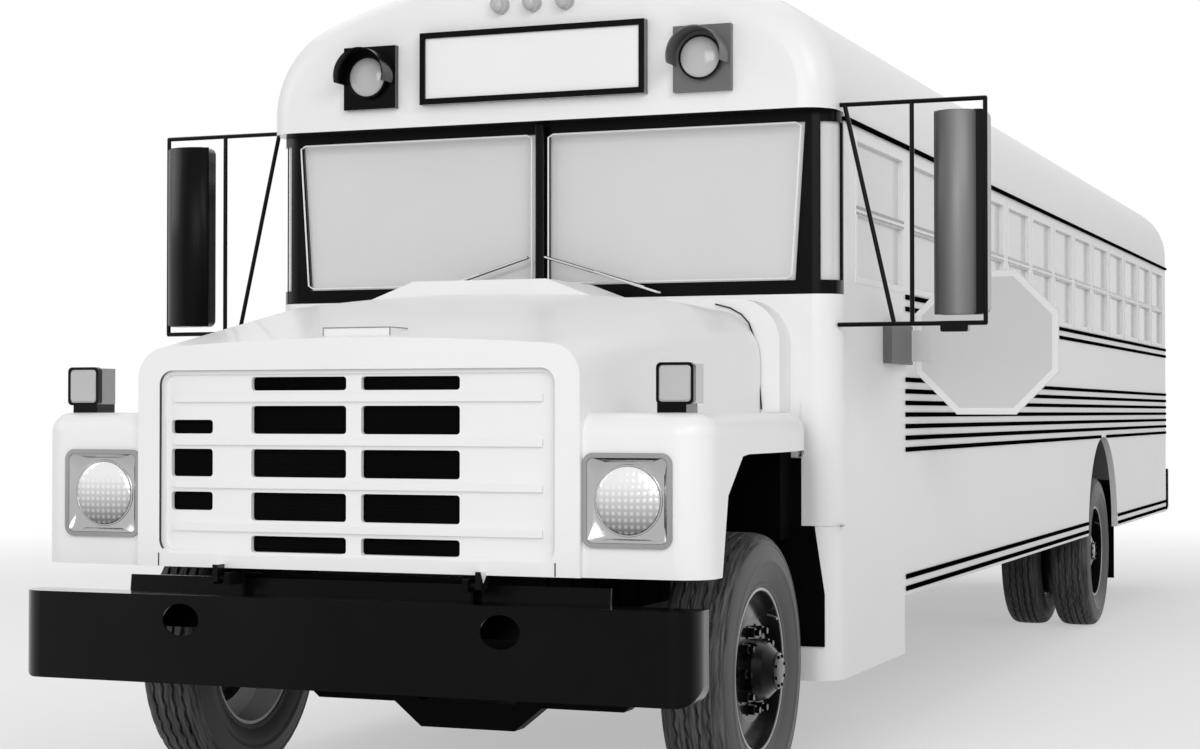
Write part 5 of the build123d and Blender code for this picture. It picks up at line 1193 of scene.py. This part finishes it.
make_tyres()
make_wheel_fittings()
make_headlamps()
make_turn_signals()
make_warning_lamps()
make_rear_lamps()
make_wipers()
make_divider()
make_grille_screen()
make_valance()
make_wheel_liners()
make_windshield_beads()
make_sash_bars()
make_rear_door_fittings()
make_entrance_rubbers()
make_latch_shade_lines()
make_mirror_bracket()
make_seams()
make_stop_sign_trim()
make_mirror_covers()
make_benches()
make_driver_seat()


# Stage, light and camera
STAGE_SIZE = 400
SIGHT_END = 500
SHADOW_END = 6.0
GLOW_START = 16.0
GLOW_LOW = 0.45
WORLD_DIM = 0.5
LIGHTS = (
    # name, place, target, size, power
    ("key_light", (9, -14, 8), (0, -3, 1.2), (7, 5), 470),
    ("front_light", (2.5, -20, 5), (0, -5.5, 1.3), (8, 5), 480),
    ("top_light", (-2, 0, 11), (0, 0, 1), (8, 14), 260),
    ("side_light", (-11, -9, 6), (0, -2, 1.3), (7, 5), 150),
)
PHOTO_WIDTH = 1200
FOCAL_PIXELS = 2229
SENSOR = 36.0
CAMERA_PLACE = (3.47, BODY_Y - 8.27, 1.40)
CAMERA_TILT = 90.98
CAMERA_TURN = 21.30


def seen_rays(tree):
    """One for camera, glossy and transmission rays, and zero for those that light the bus."""
    paths = tree.nodes.new("ShaderNodeLightPath")
    seen = paths.outputs["Is Camera Ray"]
    for socket in ("Is Glossy Ray", "Is Transmission Ray"):
        seen = worked_out(tree, "MAXIMUM", seen, paths.outputs[socket])
    return seen


def make_stage():
    """Pale floor that takes a soft shadow near the bus and goes white away from it."""
    bpy.ops.mesh.primitive_plane_add(size=STAGE_SIZE, location=(0, 0, 0))
    floor = bpy.context.object
    floor.name = "studio_floor"
    material = bpy.data.materials.new("studio_floor")
    material.use_nodes = True
    tree = material.node_tree
    tree.nodes.clear()
    output = tree.nodes.new("ShaderNodeOutputMaterial")
    diffuse = tree.nodes.new("ShaderNodeBsdfDiffuse")
    dress(tree, diffuse, {"Color": grey(0.9)})
    glow = tree.nodes.new("ShaderNodeEmission")
    dress(tree, glow, {"Strength": 1.0})
    length = tree.nodes.new("ShaderNodeVectorMath")
    length.operation = "LENGTH"
    feed(tree, length.inputs[0], coordinates(tree))
    fade = mapped(
        tree, length.outputs["Value"], SHADOW_END, GLOW_START, GLOW_LOW, kind="SMOOTHSTEP")
    mix = tree.nodes.new("ShaderNodeMixShader")
    share = worked_out(tree, "MULTIPLY", fade, seen_rays(tree))
    for socket, value in zip(mix.inputs, (share, diffuse.outputs[0], glow.outputs[0])):
        feed(tree, socket, value)
    feed(tree, output.inputs[0], mix.outputs[0])
    floor.data.materials.append(material)


def make_world():
    world = bpy.data.worlds.new("studio_world")
    bpy.context.scene.world = world
    world.use_nodes = True
    tree = world.node_tree
    tree.nodes.clear()
    output = tree.nodes.new("ShaderNodeOutputWorld")
    background = tree.nodes.new("ShaderNodeBackground")
    strength = mapped(tree, seen_rays(tree), 0.0, 1.0, WORLD_DIM, 1.0)
    dress(tree, background, {"Color": grey(1.0), "Strength": strength})
    feed(tree, output.inputs[0], background.outputs[0])


def area_light(name, place, target, size, power):
    data = bpy.data.lights.new(name, "AREA")
    data.shape = "RECTANGLE"
    data.size, data.size_y = size
    data.energy = power
    light = bpy.data.objects.new(name, data)
    light.location = place
    light.rotation_mode = "QUATERNION"
    light.rotation_quaternion = (Vector(target) - Vector(place)).to_track_quat("-Z", "Y")
    bpy.context.scene.collection.objects.link(light)


def make_camera():
    data = bpy.data.cameras.new("photo_camera")
    data.sensor_width = SENSOR
    data.lens = FOCAL_PIXELS / PHOTO_WIDTH * SENSOR
    data.clip_end = SIGHT_END
    camera = bpy.data.objects.new("photo_camera", data)
    camera.location = CAMERA_PLACE
    camera.rotation_euler = (math.radians(CAMERA_TILT), 0, math.radians(CAMERA_TURN))
    bpy.context.scene.collection.objects.link(camera)
    bpy.context.scene.camera = camera


make_stage()
make_world()
for row in LIGHTS:
    area_light(*row)
make_camera()
bpy.context.scene.view_settings.view_transform = "Standard"
